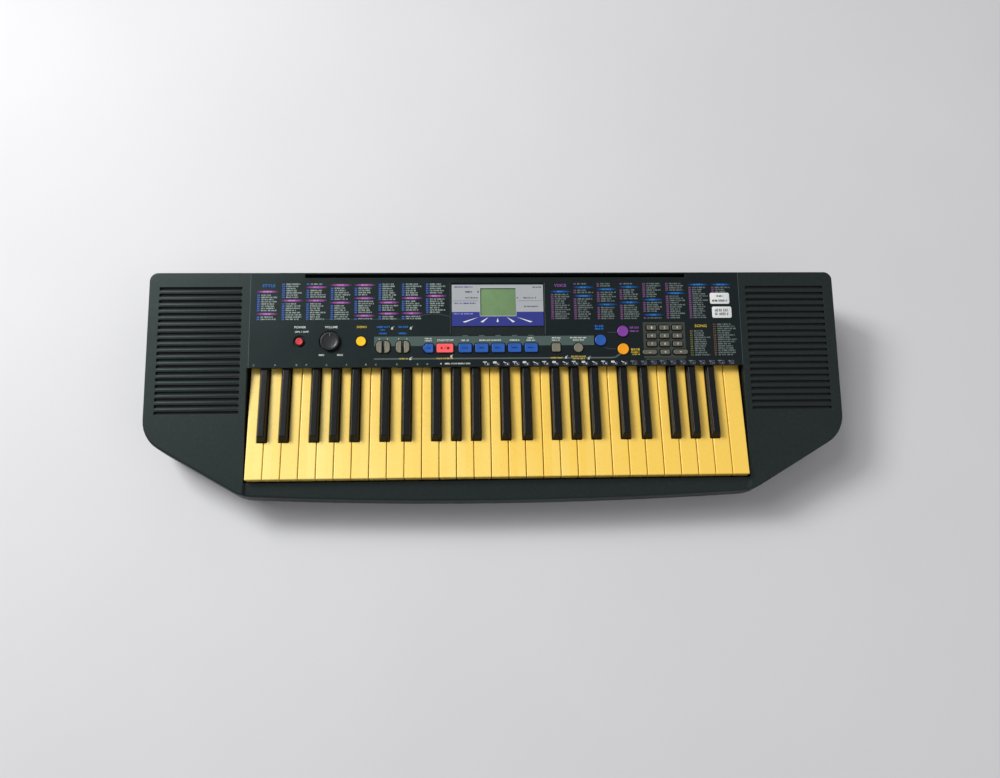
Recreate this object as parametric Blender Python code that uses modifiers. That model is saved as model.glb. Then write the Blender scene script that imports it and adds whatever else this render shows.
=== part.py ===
"""A portable keyboard with full-size keys, as separate pieces in metres with +Z up.

X runs along the keys, -Y faces the player, and Z = 0 is the surface that the feet stand on.
Places on the sloping panel are given as (x, v): v runs up the panel from its front lip, and
w stands square to it.
"""
import math

import bmesh
import bpy
from mathutils import Matrix, Vector

MM = 0.001

# Keys
WHITE_COUNT = 29
WHITE_PITCH = 23.5 * MM
WHITE_GAP = 1.0 * MM
WHITE_VISIBLE = 152.2 * MM
KEY_TOP_Z = 74.0 * MM
KEY_HEIGHT = 16.0 * MM
KEY_WALL = 2.0 * MM
KEY_ROOF = 2.4 * MM
KEY_EDGE = 0.8 * MM
KEY_TRAVEL = 10.0 * MM
BLACK_WIDTH = 12.3 * MM
BLACK_TOP_WIDTH = 9.2 * MM
BLACK_GAP = 0.8 * MM
BLACK_SETBACK = 50.7 * MM
BLACK_RAKE = 5.5 * MM
BLACK_FRONT_RISE = 11.0 * MM
BLACK_REAR_RISE = 8.2 * MM
BLACK_HIDDEN = 4.5 * MM
TAIL_HIDDEN = 48.5 * MM
LUG_WIDTH = 9.0 * MM
LUG_LENGTH = 13.0 * MM
LUG_TOP_DROP = 2.0 * MM
BLACK_OFFSETS = {0: -2.8 * MM, 1: 2.9 * MM, 3: -3.6 * MM, 4: 0.0, 5: 3.6 * MM}
NOTE_NAMES = "cdefgab"
WHITES_PER_OCTAVE = 7
LOWEST_OCTAVE = 2

# Case
POD_WIDTH = 136.5 * MM
RAIL_DEPTH = 28.8 * MM
PANEL_DEPTH = 134.0 * MM
PANEL_TILT = math.radians(7.8)
LIP_RISE = 12.3 * MM
SIDE_LENGTH = 229.1 * MM
CHAMFER_ANGLE = math.radians(30.0)
BOW_RADIUS = 6.43
FRONT_CORNER = 50.0 * MM
SIDE_CORNER = 45.0 * MM
REAR_CORNER = 12.0 * MM
TOP_EDGE = 3.5 * MM
CASE_WALL = 2.8 * MM
PANEL_WALL = 3.0 * MM
WELL_SIDE_GAP = 2.75 * MM
WELL_FRONT_GAP = 2.0 * MM
WELL_WALL = 3.0 * MM
WELL_WALL_DEPTH = 34.0 * MM
CHEEK_TAIL = 60.0 * MM
RAIL_REAR_DROP = 11.5 * MM
RAIL_FRONT_DROP = 17.5 * MM
PARTING_Z = 32.0 * MM
UNDERCUT = 5.0 * MM
FLOOR_WALL = 2.8 * MM

# Feet
FOOT_HEIGHT = 4.0 * MM
FOOT_RADIUS = 8.0 * MM
FOOT_SIDE_INSET = 50.0 * MM
FOOT_REAR_INSET = 30.0 * MM
FOOT_FRONT_INSET = 26.0 * MM
FRONT_FOOT_X = 320.0 * MM

# Speakers and their grilles
GRILLE_SLOTS = 20
GRILLE_PITCH = 9.1 * MM
GRILLE_SLOT = 4.2 * MM
GRILLE_WIDTH = 112.4 * MM
GRILLE_INSET = 15.0 * MM
GRILLE_CENTRE_V = 25.4 * MM
SPEAKER_RADIUS = 54.0 * MM
SPEAKER_DEPTH = 38.0 * MM
SPEAKER_MAGNET = 30.0 * MM
SPEAKER_RIM = 8.0 * MM
SPEAKER_RIM_DEPTH = 2.0 * MM
SPEAKER_CONE_DEPTH = 17.0 * MM
SPEAKER_CONE_FLOOR = 14.0 * MM
SPEAKER_BASKET_DEPTH = 24.0 * MM
SPEAKER_BASKET_LIP = 4.0 * MM
SPEAKER_SIDES = 18

# Music rest slot
REST_SLOT_LENGTH = 534.0 * MM
REST_SLOT_WIDTH = 5.4 * MM
REST_SLOT_DEPTH = 14.0 * MM
REST_SLOT_WALL = 2.0 * MM

# Controls on the panel
BUTTON_RISE = 2.6 * MM
BUTTON_TRAVEL = 1.5 * MM
BUTTON_EDGE = 0.6 * MM
BUTTON_FLANGE = 1.0 * MM
BUTTON_FLANGE_REACH = 1.2 * MM
BUTTON_WEB = 11.0 * MM
BUTTON_GAP = 0.5 * MM
POWER_AT = (-273.0 * MM, 36.1 * MM)
POWER_DIAMETER = 10.0 * MM
POWER_RISE = 3.2 * MM
POWER_TRAVEL = 2.0 * MM
POWER_RECESS = 17.5 * MM
KNOB_AT = (-231.2 * MM, 36.1 * MM)
KNOB_DIAMETER = 26.5 * MM
KNOB_RISE = 5.4 * MM
KNOB_RECESS = 31.0 * MM
KNOB_STEM = 6.0 * MM
RECESS_DEPTH = 1.8 * MM
DEMO_AT = (-188.8 * MM, 36.0 * MM)
DEMO_DIAMETER = 13.3 * MM
OVAL_ROW_V = 27.9 * MM
OVAL_XS = (-164.2 * MM, -153.0 * MM, -137.4 * MM, -126.3 * MM)
OVAL_WIDTH = 7.3 * MM
OVAL_HEIGHT = 16.6 * MM
OVAL_CORNER = 5.6 * MM
ROW_V = 25.8 * MM
ROW_HEIGHT = 12.6 * MM
ROW_CORNER = 2.0 * MM
SYNC_X = -97.2 * MM
SYNC_WIDTH = 14.9 * MM
START_X = -73.6 * MM
START_WIDTH = 23.0 * MM
STYLE_COUNT = 5
STYLE_X = 0.1 * MM
STYLE_PITCH = 22.9 * MM
STYLE_WIDTH = 18.0 * MM
SQUARE_X = 80.7 * MM
SQUARE_WIDTH = 11.8 * MM
SMALL_ROUND_AT = (111.8 * MM, 25.4 * MM)
SMALL_ROUND_DIAMETER = 12.7 * MM
SELECT_AT = ((143.1 * MM, 36.0 * MM), (174.7 * MM, 48.5 * MM), (174.5 * MM, 23.2 * MM))
SELECT_DIAMETER = 15.5 * MM

# Number pad
PAD_AT = (233.4 * MM, 36.0 * MM)
PAD_COLUMN_PITCH = 18.15 * MM
PAD_ROW_PITCH = 11.6 * MM
PAD_KEY_WIDTH = 13.0 * MM
PAD_KEY_HEIGHT = 6.6 * MM
PAD_WIDE_KEY = 20.2 * MM
PAD_WIDE_OFFSET = 21.8 * MM
PAD_KEY_RISE = 2.6 * MM
PAD_WEB_MARGIN = 3.0 * MM
PAD_TRAVEL = 1.2 * MM

# Display
RECESS_AT = (0.0, PANEL_DEPTH * 0.6112)
RECESS_WIDTH = 132.4 * MM
RECESS_HEIGHT = PANEL_DEPTH * 0.5552
DISPLAY_RECESS_DEPTH = 1.5 * MM
PLATE_AT = (0.2 * MM, PANEL_DEPTH * 0.6493)
PLATE_WIDTH = 128.0 * MM
PLATE_HEIGHT = PANEL_DEPTH * 0.4425
WINDOW_AT = (0.7 * MM, PANEL_DEPTH * 0.6851)
WINDOW_WIDTH = 49.8 * MM
WINDOW_HEIGHT = PANEL_DEPTH * 0.2985
GLASS_DROP = 2.0 * MM
MODULE_MARGIN = 9.0 * MM

# Key frame
FRAME_PLATE = 3.0 * MM
FRAME_CLEAR = 17.0 * MM
PIVOT_BAR_RADIUS = 2.5 * MM
PIVOT_RISE = 4.0 * MM
PIVOT_RIB = 2.4 * MM
STOP_RAIL_WIDTH = 8.0 * MM
WHITE_POST_SETBACK = 23.5 * MM
BLACK_POST_SETBACK = 74.0 * MM
POST_DEPTH = 5.0 * MM
POST_GAP = 0.6 * MM
BLACK_POST_GRIP = 8.0 * MM

# Contact strip on the key frame
CONTACT_SETBACK = 91.5 * MM
CONTACT_DEPTH = 13.0 * MM
CONTACT_DOME = 9.0 * MM
CONTACT_STRIP = 1.5 * MM

# Circuit board under the panel, with the display and the jacks on it
BOARD = 1.6 * MM
BOARD_FRONT_V = 11.0 * MM
BOARD_REAR_V = 55.0 * MM
BOARD_LEFT_X = -322.0 * MM
BOARD_RIGHT_X = 280.0 * MM
JACK_WING_X = -274.0 * MM
BOSS_XS = (-284.0 * MM, -209.0 * MM, -110.0 * MM, 0.0, 97.0 * MM, 190.0 * MM, 276.0 * MM)
BOSS_V = 50.0 * MM
BOSS_RADIUS = 3.0 * MM
JACK_XS = (-310.0 * MM, -286.0 * MM)
JACK_WIDTH = 14.0 * MM
JACK_DEPTH = 13.0 * MM
JACK_HEIGHT = 12.0 * MM
JACK_BORE = 6.8 * MM
JACK_WALL_HOLE = 9.0 * MM

# Battery bay and its door
BAY_LENGTH = 374.0 * MM
BAY_DEPTH = 40.0 * MM
BAY_HEIGHT = 37.2 * MM
BAY_WALL = 2.0 * MM
BAY_REAR_INSET = 19.5 * MM
DOOR_GAP = 0.5 * MM
DOOR_THICKNESS = 2.5 * MM
DOOR_TAB_XS = (-120.0 * MM, 0.0, 120.0 * MM)
DOOR_TAB_WIDTH = 12.0 * MM
DOOR_TAB_REACH = 4.0 * MM
DOOR_TAB_THICKNESS = 1.5 * MM
DOOR_TAB_ROOT = 2.5 * MM
DOOR_NOTCH_RISE = 6.0 * MM
DOOR_LATCH_X = 90.0 * MM
DOOR_LATCH_WIDTH = 16.0 * MM
DOOR_LATCH_INSET = 1.4 * MM
DOOR_LATCH_HEIGHT = 6.0 * MM

# Fits and facets
SEAT_GAP = 0.3 * MM
OVERLAP = 0.5 * MM
OVERSHOOT = 20.0 * MM
CUT_HEIGHT = 300.0 * MM
CASE_ARC_STEP = math.radians(9.0)
SMALL_ARC_STEP = math.radians(45.0)
ROUND_SIDES = 18
BOSS_SIDES = 8
BAR_SIDES = 8

# Sizes that follow from those above
WELL_HALF = WHITE_COUNT * WHITE_PITCH / 2 + WELL_SIDE_GAP
HALF_WIDTH = WELL_HALF + POD_WIDTH
REAR_Y = (RAIL_DEPTH + WHITE_VISIBLE + PANEL_DEPTH) / 2
FRONT_Y = -REAR_Y
KEY_FRONT_Y = FRONT_Y + RAIL_DEPTH
LIP_Y = KEY_FRONT_Y + WHITE_VISIBLE
WELL_FRONT_Y = KEY_FRONT_Y - WELL_FRONT_GAP
LIP_TOP_Z = KEY_TOP_Z + LIP_RISE
KEY_BOTTOM_Z = KEY_TOP_Z - KEY_HEIGHT
BLACK_FRONT_Y = KEY_FRONT_Y + BLACK_SETBACK
SHOULDER_Y = BLACK_FRONT_Y - BLACK_GAP
TAIL_END_Y = LIP_Y + TAIL_HIDDEN
LUG_END_Y = TAIL_END_Y + LUG_LENGTH
PIVOT_Y = TAIL_END_Y + LUG_LENGTH / 2
PIVOT_Z = KEY_BOTTOM_Z + PIVOT_RISE
PRESS_ANGLE = math.asin(KEY_TRAVEL / (PIVOT_Y - KEY_FRONT_Y))
FRAME_TOP_Z = KEY_BOTTOM_Z - FRAME_CLEAR
FLOOR_TOP_Z = FOOT_HEIGHT + FLOOR_WALL
BUTTON_SEAT_W = -PANEL_WALL - SEAT_GAP
BOARD_TOP_W = BUTTON_SEAT_W - BUTTON_FLANGE - max(POWER_TRAVEL, BUTTON_TRAVEL, PAD_TRAVEL) - SEAT_GAP
BAY_REAR_Y = REAR_Y - BAY_REAR_INSET
BAY_FRONT_Y = BAY_REAR_Y - BAY_DEPTH

# Places on the panel are turned by its tilt about the lip
PANEL = Matrix.Translation((0, LIP_Y, LIP_TOP_Z)) @ Matrix.Rotation(PANEL_TILT, 4, "X")
# An outline drawn in (Y, Z) that is given its length along X
ACROSS = Matrix(((0, 0, 1, 0), (1, 0, 0, 0), (0, 1, 0, 0), (0, 0, 0, 1)))
# An outline drawn in (X, Z) that is given its length along -Y
ALONG = Matrix.Rotation(math.pi / 2, 4, "X")


def clear_scene():
    """Remove the objects of the open file."""
    for item in list(bpy.data.objects):
        bpy.data.objects.remove(item, do_unlink=True)


def new_collection(name):
    """A collection of its own in the scene."""
    group = bpy.data.collections.new(name)
    bpy.context.scene.collection.children.link(group)
    return group


clear_scene()
PARTS = new_collection("portable_keyboard")
CUTTERS = new_collection("cutters")


def material(name, colour, roughness, metallic=0.0):
    """A plain Principled finish."""
    finish = bpy.data.materials.new(name)
    finish.use_nodes = True
    shader = finish.node_tree.nodes["Principled BSDF"]
    shader.inputs["Base Color"].default_value = (*colour, 1.0)
    shader.inputs["Roughness"].default_value = roughness
    shader.inputs["Metallic"].default_value = metallic
    return finish


def rounded(corners, step):
    """Outline points of corners (x, y, radius), each corner turned into its arc."""
    points = []
    count = len(corners)
    for index, (x, y, radius) in enumerate(corners):
        here = Vector((x, y))
        if radius <= 0:
            points.append((x, y))
            continue
        before = (Vector(corners[index - 1][:2]) - here).normalized()
        after = (Vector(corners[(index + 1) % count][:2]) - here).normalized()
        half = before.angle(after) / 2
        centre = here + (before + after).normalized() * radius / math.sin(half)
        start = here + before * radius / math.tan(half) - centre
        turn = math.pi - 2 * half
        if before.x * after.y - before.y * after.x > 0:
            turn = -turn
        steps = max(1, round(abs(turn) / step))
        first = math.atan2(start.y, start.x)
        for number in range(steps + 1):
            angle = first + turn * number / steps
            points.append((centre.x + radius * math.cos(angle), centre.y + radius * math.sin(angle)))
    return points


def disc(x, y, diameter, grow=0.0, sides=ROUND_SIDES):
    """Outline of a circle, made larger all round by grow."""
    radius = diameter / 2 + grow
    angles = [2 * math.pi * number / sides for number in range(sides)]
    return [(x + radius * math.cos(angle), y + radius * math.sin(angle)) for angle in angles]


def block(x, y, width, height, corner=0.0, grow=0.0):
    """Outline of a rectangle with rounded corners, made larger all round by grow."""
    half_x = width / 2 + grow
    half_y = height / 2 + grow
    radius = corner + grow if corner > 0 else 0.0
    corners = [(x + sx * half_x, y + sy * half_y, radius) for sx, sy in ((-1, -1), (1, -1), (1, 1), (-1, 1))]
    return rounded(corners, SMALL_ARC_STEP)


def half_oval(x, y, side, grow=0.0):
    """Outline of a half-oval button: side is -1 where its round edge is on the left."""
    half_x = OVAL_WIDTH / 2 + grow
    half_y = OVAL_HEIGHT / 2 + grow
    inner = x - side * half_x
    outer = x + side * half_x
    radius = OVAL_CORNER + grow
    corners = [
        (inner, y - half_y, 0),
        (outer, y - half_y, radius),
        (outer, y + half_y, radius),
        (inner, y + half_y, 0),
    ]
    return rounded(corners[::side], SMALL_ARC_STEP)


def pointed(x, y, width, height, grow=0.0):
    """Outline of a button whose left edge runs out to a blunt point."""
    half_x = width / 2 + grow
    half_y = height / 2 + grow
    shoulder = x - half_x + height * 0.4
    radius = ROW_CORNER + grow
    corners = [
        (x - half_x, y, radius),
        (shoulder, y - half_y, radius),
        (x + half_x, y - half_y, radius),
        (x + half_x, y + half_y, radius),
        (shoulder, y + half_y, radius),
    ]
    return rounded(corners, SMALL_ARC_STEP)


def add_box(bm, low, high, place=Matrix.Identity(4)):
    """Add a box between two corners to a mesh in progress, and return its vertices."""
    low = Vector(low)
    high = Vector(high)
    size = Matrix.Diagonal((*(high - low), 1.0))
    made = bmesh.ops.create_cube(bm, size=1.0, matrix=place @ Matrix.Translation((low + high) / 2) @ size)
    return made["verts"]


def add_cylinder(bm, x, y, radius, low, high, sides, place=Matrix.Identity(4)):
    """Add an upright cylinder at (x, y) between two heights."""
    matrix = place @ Matrix.Translation((x, y, (low + high) / 2))
    bmesh.ops.create_cone(
        bm, cap_ends=True, segments=sides, radius1=radius, radius2=radius, depth=high - low, matrix=matrix
    )


def add_prism(bm, points, low, high, place=Matrix.Identity(4)):
    """Add a flat outline filled on both sides and given its height."""
    curve = bpy.data.curves.new("outline", "CURVE")
    curve.dimensions = "2D"
    curve.fill_mode = "BOTH"
    curve.extrude = (high - low) / 2
    spline = curve.splines.new("POLY")
    spline.points.add(len(points) - 1)
    for point, (x, y) in zip(spline.points, points):
        point.co = (x, y, 0, 1)
    spline.use_cyclic_u = True
    holder = bpy.data.objects.new("outline", curve)
    CUTTERS.objects.link(holder)
    depsgraph = bpy.context.evaluated_depsgraph_get()
    mesh = bpy.data.meshes.new_from_object(holder.evaluated_get(depsgraph))
    solid = bmesh.new()
    solid.from_mesh(mesh)
    bmesh.ops.remove_doubles(solid, verts=solid.verts, dist=0.01 * MM)
    bmesh.ops.dissolve_limit(solid, angle_limit=0.001, verts=solid.verts, edges=solid.edges)
    bmesh.ops.recalc_face_normals(solid, faces=solid.faces)
    solid.to_mesh(mesh)
    solid.free()
    mesh.transform(place @ Matrix.Translation((0, 0, (low + high) / 2)))
    bm.from_mesh(mesh)
    bpy.data.objects.remove(holder, do_unlink=True)
    bpy.data.curves.remove(curve)
    bpy.data.meshes.remove(mesh)


def add_object(name, bm, group, finish=None):
    """Turn a mesh in progress into an object of a collection."""
    mesh = bpy.data.meshes.new(name)
    bm.to_mesh(mesh)
    bm.free()
    item = bpy.data.objects.new(name, mesh)
    group.objects.link(item)
    if finish:
        mesh.materials.append(finish)
    if group is CUTTERS:
        item.hide_render = True
        item.display_type = "WIRE"
    return item


def combine(target, other, operation):
    """Cut or join one object with another, as a modifier that stays."""
    modifier = target.modifiers.new(operation.lower(), "BOOLEAN")
    modifier.operation = operation
    modifier.object = other


def bake(item):
    """Turn an object's modifiers into its mesh."""
    depsgraph = bpy.context.evaluated_depsgraph_get()
    mesh = bpy.data.meshes.new_from_object(item.evaluated_get(depsgraph))
    item.modifiers.clear()
    item.data = mesh


def round_edges(item, width, segments, wanted):
    """Round the edges for which wanted(edge) holds."""
    bm = bmesh.new()
    bm.from_mesh(item.data)
    weights = bm.edges.layers.float.new("bevel_weight_edge")
    for edge in bm.edges:
        edge[weights] = 1.0 if wanted(edge) else 0.0
    bm.to_mesh(item.data)
    bm.free()
    modifier = item.modifiers.new("edge", "BEVEL")
    modifier.limit_method = "WEIGHT"
    modifier.width = width
    modifier.segments = segments


def shade_round(item, angle=math.radians(35.0)):
    """Shade a piece smooth, with its sharp edges kept."""
    item.data.shade_smooth()
    item.data.set_sharp_from_angle(angle=angle)


def drop_at(y):
    """How far a fully pressed key has come down at y."""
    return (PIVOT_Y - y) * math.sin(PRESS_ANGLE)


def white_x(index):
    """Centre of a white key."""
    return (index - (WHITE_COUNT - 1) / 2) * WHITE_PITCH


def black_after(index):
    """Centre of the black key to the right of a white key, or None where there is none."""
    offset = BLACK_OFFSETS.get(index % WHITES_PER_OCTAVE)
    if offset is None or not 0 <= index < WHITE_COUNT - 1:
        return None
    return white_x(index) + WHITE_PITCH / 2 + offset


def white_span(index):
    """Left and right edges of a white key's head and of its tail, from the key's centre."""
    half = (WHITE_PITCH - WHITE_GAP) / 2
    slot = BLACK_WIDTH / 2 + BLACK_GAP
    left_black = black_after(index - 1)
    right_black = black_after(index)
    tail_left = -half if left_black is None else left_black + slot - white_x(index)
    tail_right = half if right_black is None else right_black - slot - white_x(index)
    return -half, half, tail_left, tail_right


def white_outline(span, inset):
    """Plan of a white key, drawn inset by a wall: its head, and its tail beside the black keys."""
    head_left, head_right, tail_left, tail_right = span
    front = KEY_FRONT_Y + inset
    shoulder = SHOULDER_Y - inset
    rear = TAIL_END_Y - inset
    points = [(head_left + inset, front), (head_right - inset, front)]
    if tail_right < head_right:
        points += [(head_right - inset, shoulder), (tail_right - inset, shoulder)]
    points += [(tail_right - inset, rear), (tail_left + inset, rear)]
    if tail_left > head_left:
        points += [(tail_left + inset, shoulder), (head_left + inset, shoulder)]
    return points


def cut_pivot(key):
    """Cut the slot that hooks over the pivot bar."""
    radius = PIVOT_BAR_RADIUS + SEAT_GAP
    arc = [math.pi * number / (BAR_SIDES / 2) for number in range(BAR_SIDES // 2 + 1)]
    points = [(PIVOT_Y + radius * math.cos(angle), PIVOT_Z + radius * math.sin(angle)) for angle in arc]
    points += [(PIVOT_Y - radius, KEY_BOTTOM_Z - OVERSHOOT), (PIVOT_Y + radius, KEY_BOTTOM_Z - OVERSHOOT)]
    bm = bmesh.new()
    add_prism(bm, points, -WHITE_PITCH, WHITE_PITCH, ACROSS)
    combine(key, add_object("pivot_cut", bm, CUTTERS), "DIFFERENCE")


def add_lug(key, x):
    """Join the narrow lug that carries a key at its rear."""
    bm = bmesh.new()
    low = (x - LUG_WIDTH / 2, TAIL_END_Y - KEY_WALL / 2, KEY_BOTTOM_Z + OVERLAP)
    high = (x + LUG_WIDTH / 2, LUG_END_Y, KEY_TOP_Z - LUG_TOP_DROP)
    add_box(bm, low, high)
    combine(key, add_object("lug", bm, CUTTERS), "UNION")


def finish_key(key, finish):
    """Bake a key, move its origin to the pivot and take its mesh for the copies."""
    bake(key)
    mesh = key.data
    mesh.transform(Matrix.Translation((0, -PIVOT_Y, -PIVOT_Z)))
    if not mesh.materials:
        mesh.materials.append(finish)
    bpy.data.objects.remove(key, do_unlink=True)
    return mesh


def white_key_mesh(name, span, finish):
    """A white key as a shell open below, with rounded top edges and its lug."""
    bm = bmesh.new()
    add_prism(bm, white_outline(span, 0.0), KEY_BOTTOM_Z, KEY_TOP_Z)
    key = add_object(name, bm, CUTTERS, finish)
    top = KEY_TOP_Z - KEY_EDGE / 2
    round_edges(key, KEY_EDGE, 1, lambda edge: all(corner.co.z > top for corner in edge.verts))
    bm = bmesh.new()
    add_prism(bm, white_outline(span, KEY_WALL), KEY_BOTTOM_Z - OVERSHOOT, KEY_TOP_Z - KEY_ROOF)
    combine(key, add_object("hollow", bm, CUTTERS), "DIFFERENCE")
    add_lug(key, (span[2] + span[3]) / 2)
    cut_pivot(key)
    return finish_key(key, finish)


def add_black_cap(bm, inset, bottom):
    """The raised part of a black key: upright sides, then a taper with a raked front."""
    half = BLACK_WIDTH / 2 - inset
    top_half = BLACK_TOP_WIDTH / 2 - inset
    front = BLACK_FRONT_Y + inset
    rear = LIP_Y + BLACK_HIDDEN - inset
    add_box(bm, (-half, front, bottom), (half, rear, KEY_TOP_Z))
    roof = [face for face in bm.faces if face.normal.z > 0.9]
    raised = bmesh.ops.extrude_face_region(bm, geom=roof)["geom"]
    bmesh.ops.delete(bm, geom=roof, context="FACES")
    for corner in raised:
        if isinstance(corner, bmesh.types.BMVert):
            at_front = corner.co.y < (front + rear) / 2
            rise = BLACK_FRONT_RISE if at_front else BLACK_REAR_RISE
            corner.co.x = math.copysign(top_half, corner.co.x)
            corner.co.y += BLACK_RAKE if at_front else 0.0
            corner.co.z = KEY_TOP_Z + rise - inset


def black_key_mesh(finish):
    """A black key as a shell open below: its cap, its hidden tail and its lug."""
    bm = bmesh.new()
    add_black_cap(bm, 0.0, KEY_BOTTOM_Z)
    key = add_object("black_key", bm, CUTTERS, finish)
    top = KEY_TOP_Z + KEY_EDGE
    round_edges(key, KEY_EDGE, 1, lambda edge: sum(corner.co.z > top for corner in edge.verts) == 2)
    bm = bmesh.new()
    half = BLACK_WIDTH / 2
    add_box(bm, (-half, LIP_Y, KEY_BOTTOM_Z), (half, TAIL_END_Y, KEY_TOP_Z - OVERLAP))
    combine(key, add_object("tail", bm, CUTTERS), "UNION")
    bm = bmesh.new()
    add_black_cap(bm, KEY_WALL, KEY_BOTTOM_Z - OVERSHOOT)
    combine(key, add_object("hollow", bm, CUTTERS), "DIFFERENCE")
    bm = bmesh.new()
    inner = half - KEY_WALL
    low = (-inner, LIP_Y - KEY_WALL, KEY_BOTTOM_Z - OVERSHOOT)
    add_box(bm, low, (inner, TAIL_END_Y - KEY_WALL, KEY_TOP_Z - KEY_ROOF))
    combine(key, add_object("hollow", bm, CUTTERS), "DIFFERENCE")
    add_lug(key, 0.0)
    cut_pivot(key)
    return finish_key(key, finish)


def key_name(index, sharp):
    """Name of a key by its note and octave, such as white_key_c2 or black_key_cs2."""
    note = NOTE_NAMES[index % WHITES_PER_OCTAVE]
    octave = LOWEST_OCTAVE + index // WHITES_PER_OCTAVE
    return f"black_key_{note}s{octave}" if sharp else f"white_key_{note}{octave}"


def build_keys(white, black):
    """Every key as its own object, with its origin on the pivot bar's axis."""
    shapes = {}
    for index in range(WHITE_COUNT):
        span = white_span(index)
        shape = tuple(round(edge / MM, 3) for edge in span)
        if shape not in shapes:
            shapes[shape] = white_key_mesh(key_name(index, False), span, white)
        key = bpy.data.objects.new(key_name(index, False), shapes[shape])
        key.location = (white_x(index), PIVOT_Y, PIVOT_Z)
        PARTS.objects.link(key)
    shape = black_key_mesh(black)
    for index in range(WHITE_COUNT):
        if black_after(index) is not None:
            key = bpy.data.objects.new(key_name(index, True), shape)
            key.location = (black_after(index), PIVOT_Y, PIVOT_Z)
            PARTS.objects.link(key)


def case_outline(inset):
    """Plan of the case, drawn inset by a wall: straight rear and sides, chamfers and a bowed front."""
    side = HALF_WIDTH - inset
    slope = math.tan(CHAMFER_ANGLE)
    chamfer_y = REAR_Y - SIDE_LENGTH + inset / math.cos(CHAMFER_ANGLE) - slope * inset
    apex = FRONT_Y + inset
    rise = apex - chamfer_y + slope * side
    corner_x = BOW_RADIUS * (slope - math.sqrt(slope ** 2 - 2 * rise / BOW_RADIUS))
    bow_steps = 6
    right = []
    for number in range(bow_steps + 1):
        x = corner_x * number / bow_steps
        radius = FRONT_CORNER - inset if number == bow_steps else 0.0
        right.append((x, apex + x ** 2 / (2 * BOW_RADIUS), radius))
    right.append((side, chamfer_y, SIDE_CORNER - inset))
    right.append((side, REAR_Y - inset, REAR_CORNER - inset))
    left = [(-x, y, radius) for x, y, radius in reversed(right[1:])]
    return rounded(right + left, CASE_ARC_STEP)


def add_above_panel(bm, shift):
    """Everything above the panel's plane, moved down by shift: the case is cut to it."""
    reach = HALF_WIDTH + OVERSHOOT
    depth = 2 * REAR_Y + OVERSHOOT
    add_box(bm, (-reach, -depth, -shift), (reach, depth, CUT_HEIGHT), PANEL)


def add_above_rail(bm, shift):
    """Everything above the front rail, moved down by shift, with ends that lean out to the pods."""
    run = KEY_FRONT_Y - FRONT_Y
    lean = math.atan2(RAIL_FRONT_DROP - RAIL_REAR_DROP, run)
    rear_z = KEY_TOP_Z - RAIL_REAR_DROP - shift
    place = Matrix.Translation((0, KEY_FRONT_Y, rear_z)) @ Matrix.Rotation(lean, 4, "X")
    half = WELL_HALF - WELL_SIDE_GAP + shift
    corners = add_box(bm, (-half, -run - OVERSHOOT, 0), (half, WELL_FRONT_GAP + shift, OVERSHOOT), place)
    for corner in corners:
        if (place.inverted() @ corner.co).z > OVERSHOOT / 2:
            corner.co.x += math.copysign(OVERSHOOT, corner.co.x)


def panel_button_outlines(grow):
    """Outlines of the buttons on the panel that are moulded as one set."""
    outlines = [disc(*DEMO_AT, DEMO_DIAMETER, grow)]
    for number, x in enumerate(OVAL_XS):
        outlines.append(half_oval(x, OVAL_ROW_V, 1 if number % 2 else -1, grow))
    outlines.append(pointed(SYNC_X, ROW_V, SYNC_WIDTH, ROW_HEIGHT, grow))
    outlines.append(block(START_X, ROW_V, START_WIDTH, ROW_HEIGHT, ROW_CORNER, grow))
    for number in range(STYLE_COUNT):
        x = STYLE_X + (number - (STYLE_COUNT - 1) / 2) * STYLE_PITCH
        outlines.append(block(x, ROW_V, STYLE_WIDTH, ROW_HEIGHT, ROW_CORNER, grow))
    outlines.append(block(SQUARE_X, ROW_V, SQUARE_WIDTH, SQUARE_WIDTH, ROW_CORNER, grow))
    outlines.append(disc(*SMALL_ROUND_AT, SMALL_ROUND_DIAMETER, grow))
    for x, v in SELECT_AT:
        outlines.append(disc(x, v, SELECT_DIAMETER, grow))
    return outlines


def pad_key_outlines(grow):
    """Outlines of the twelve number keys: three rows of three, and a row with two wide keys."""
    centre_x, centre_v = PAD_AT
    outlines = []
    for row in range(4):
        v = centre_v + (1.5 - row) * PAD_ROW_PITCH
        for column in (-1, 0, 1):
            wide = row == 3 and column != 0
            x = centre_x + column * (PAD_WIDE_OFFSET if wide else PAD_COLUMN_PITCH)
            width = PAD_WIDE_KEY if wide else PAD_KEY_WIDTH
            corner = PAD_KEY_HEIGHT / 2 - OVERLAP if wide else PAD_KEY_HEIGHT / 5
            outlines.append(block(x, v, width, PAD_KEY_HEIGHT, corner, grow))
    return outlines


def case_cavity():
    """The space inside the upper case, less the walls and bosses that stand in it."""
    bm = bmesh.new()
    add_prism(bm, case_outline(CASE_WALL), PARTING_Z - OVERSHOOT, LIP_TOP_Z + PANEL_DEPTH)
    cavity = add_object("case_cavity", bm, CUTTERS)
    bm = bmesh.new()
    add_above_panel(bm, PANEL_WALL)
    combine(cavity, add_object("panel_inside", bm, CUTTERS), "DIFFERENCE")
    bm = bmesh.new()
    add_above_rail(bm, PANEL_WALL)
    combine(cavity, add_object("rail_inside", bm, CUTTERS), "DIFFERENCE")
    combine(cavity, add_object("inner_walls", inner_walls(), CUTTERS), "DIFFERENCE")
    return cavity


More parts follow.
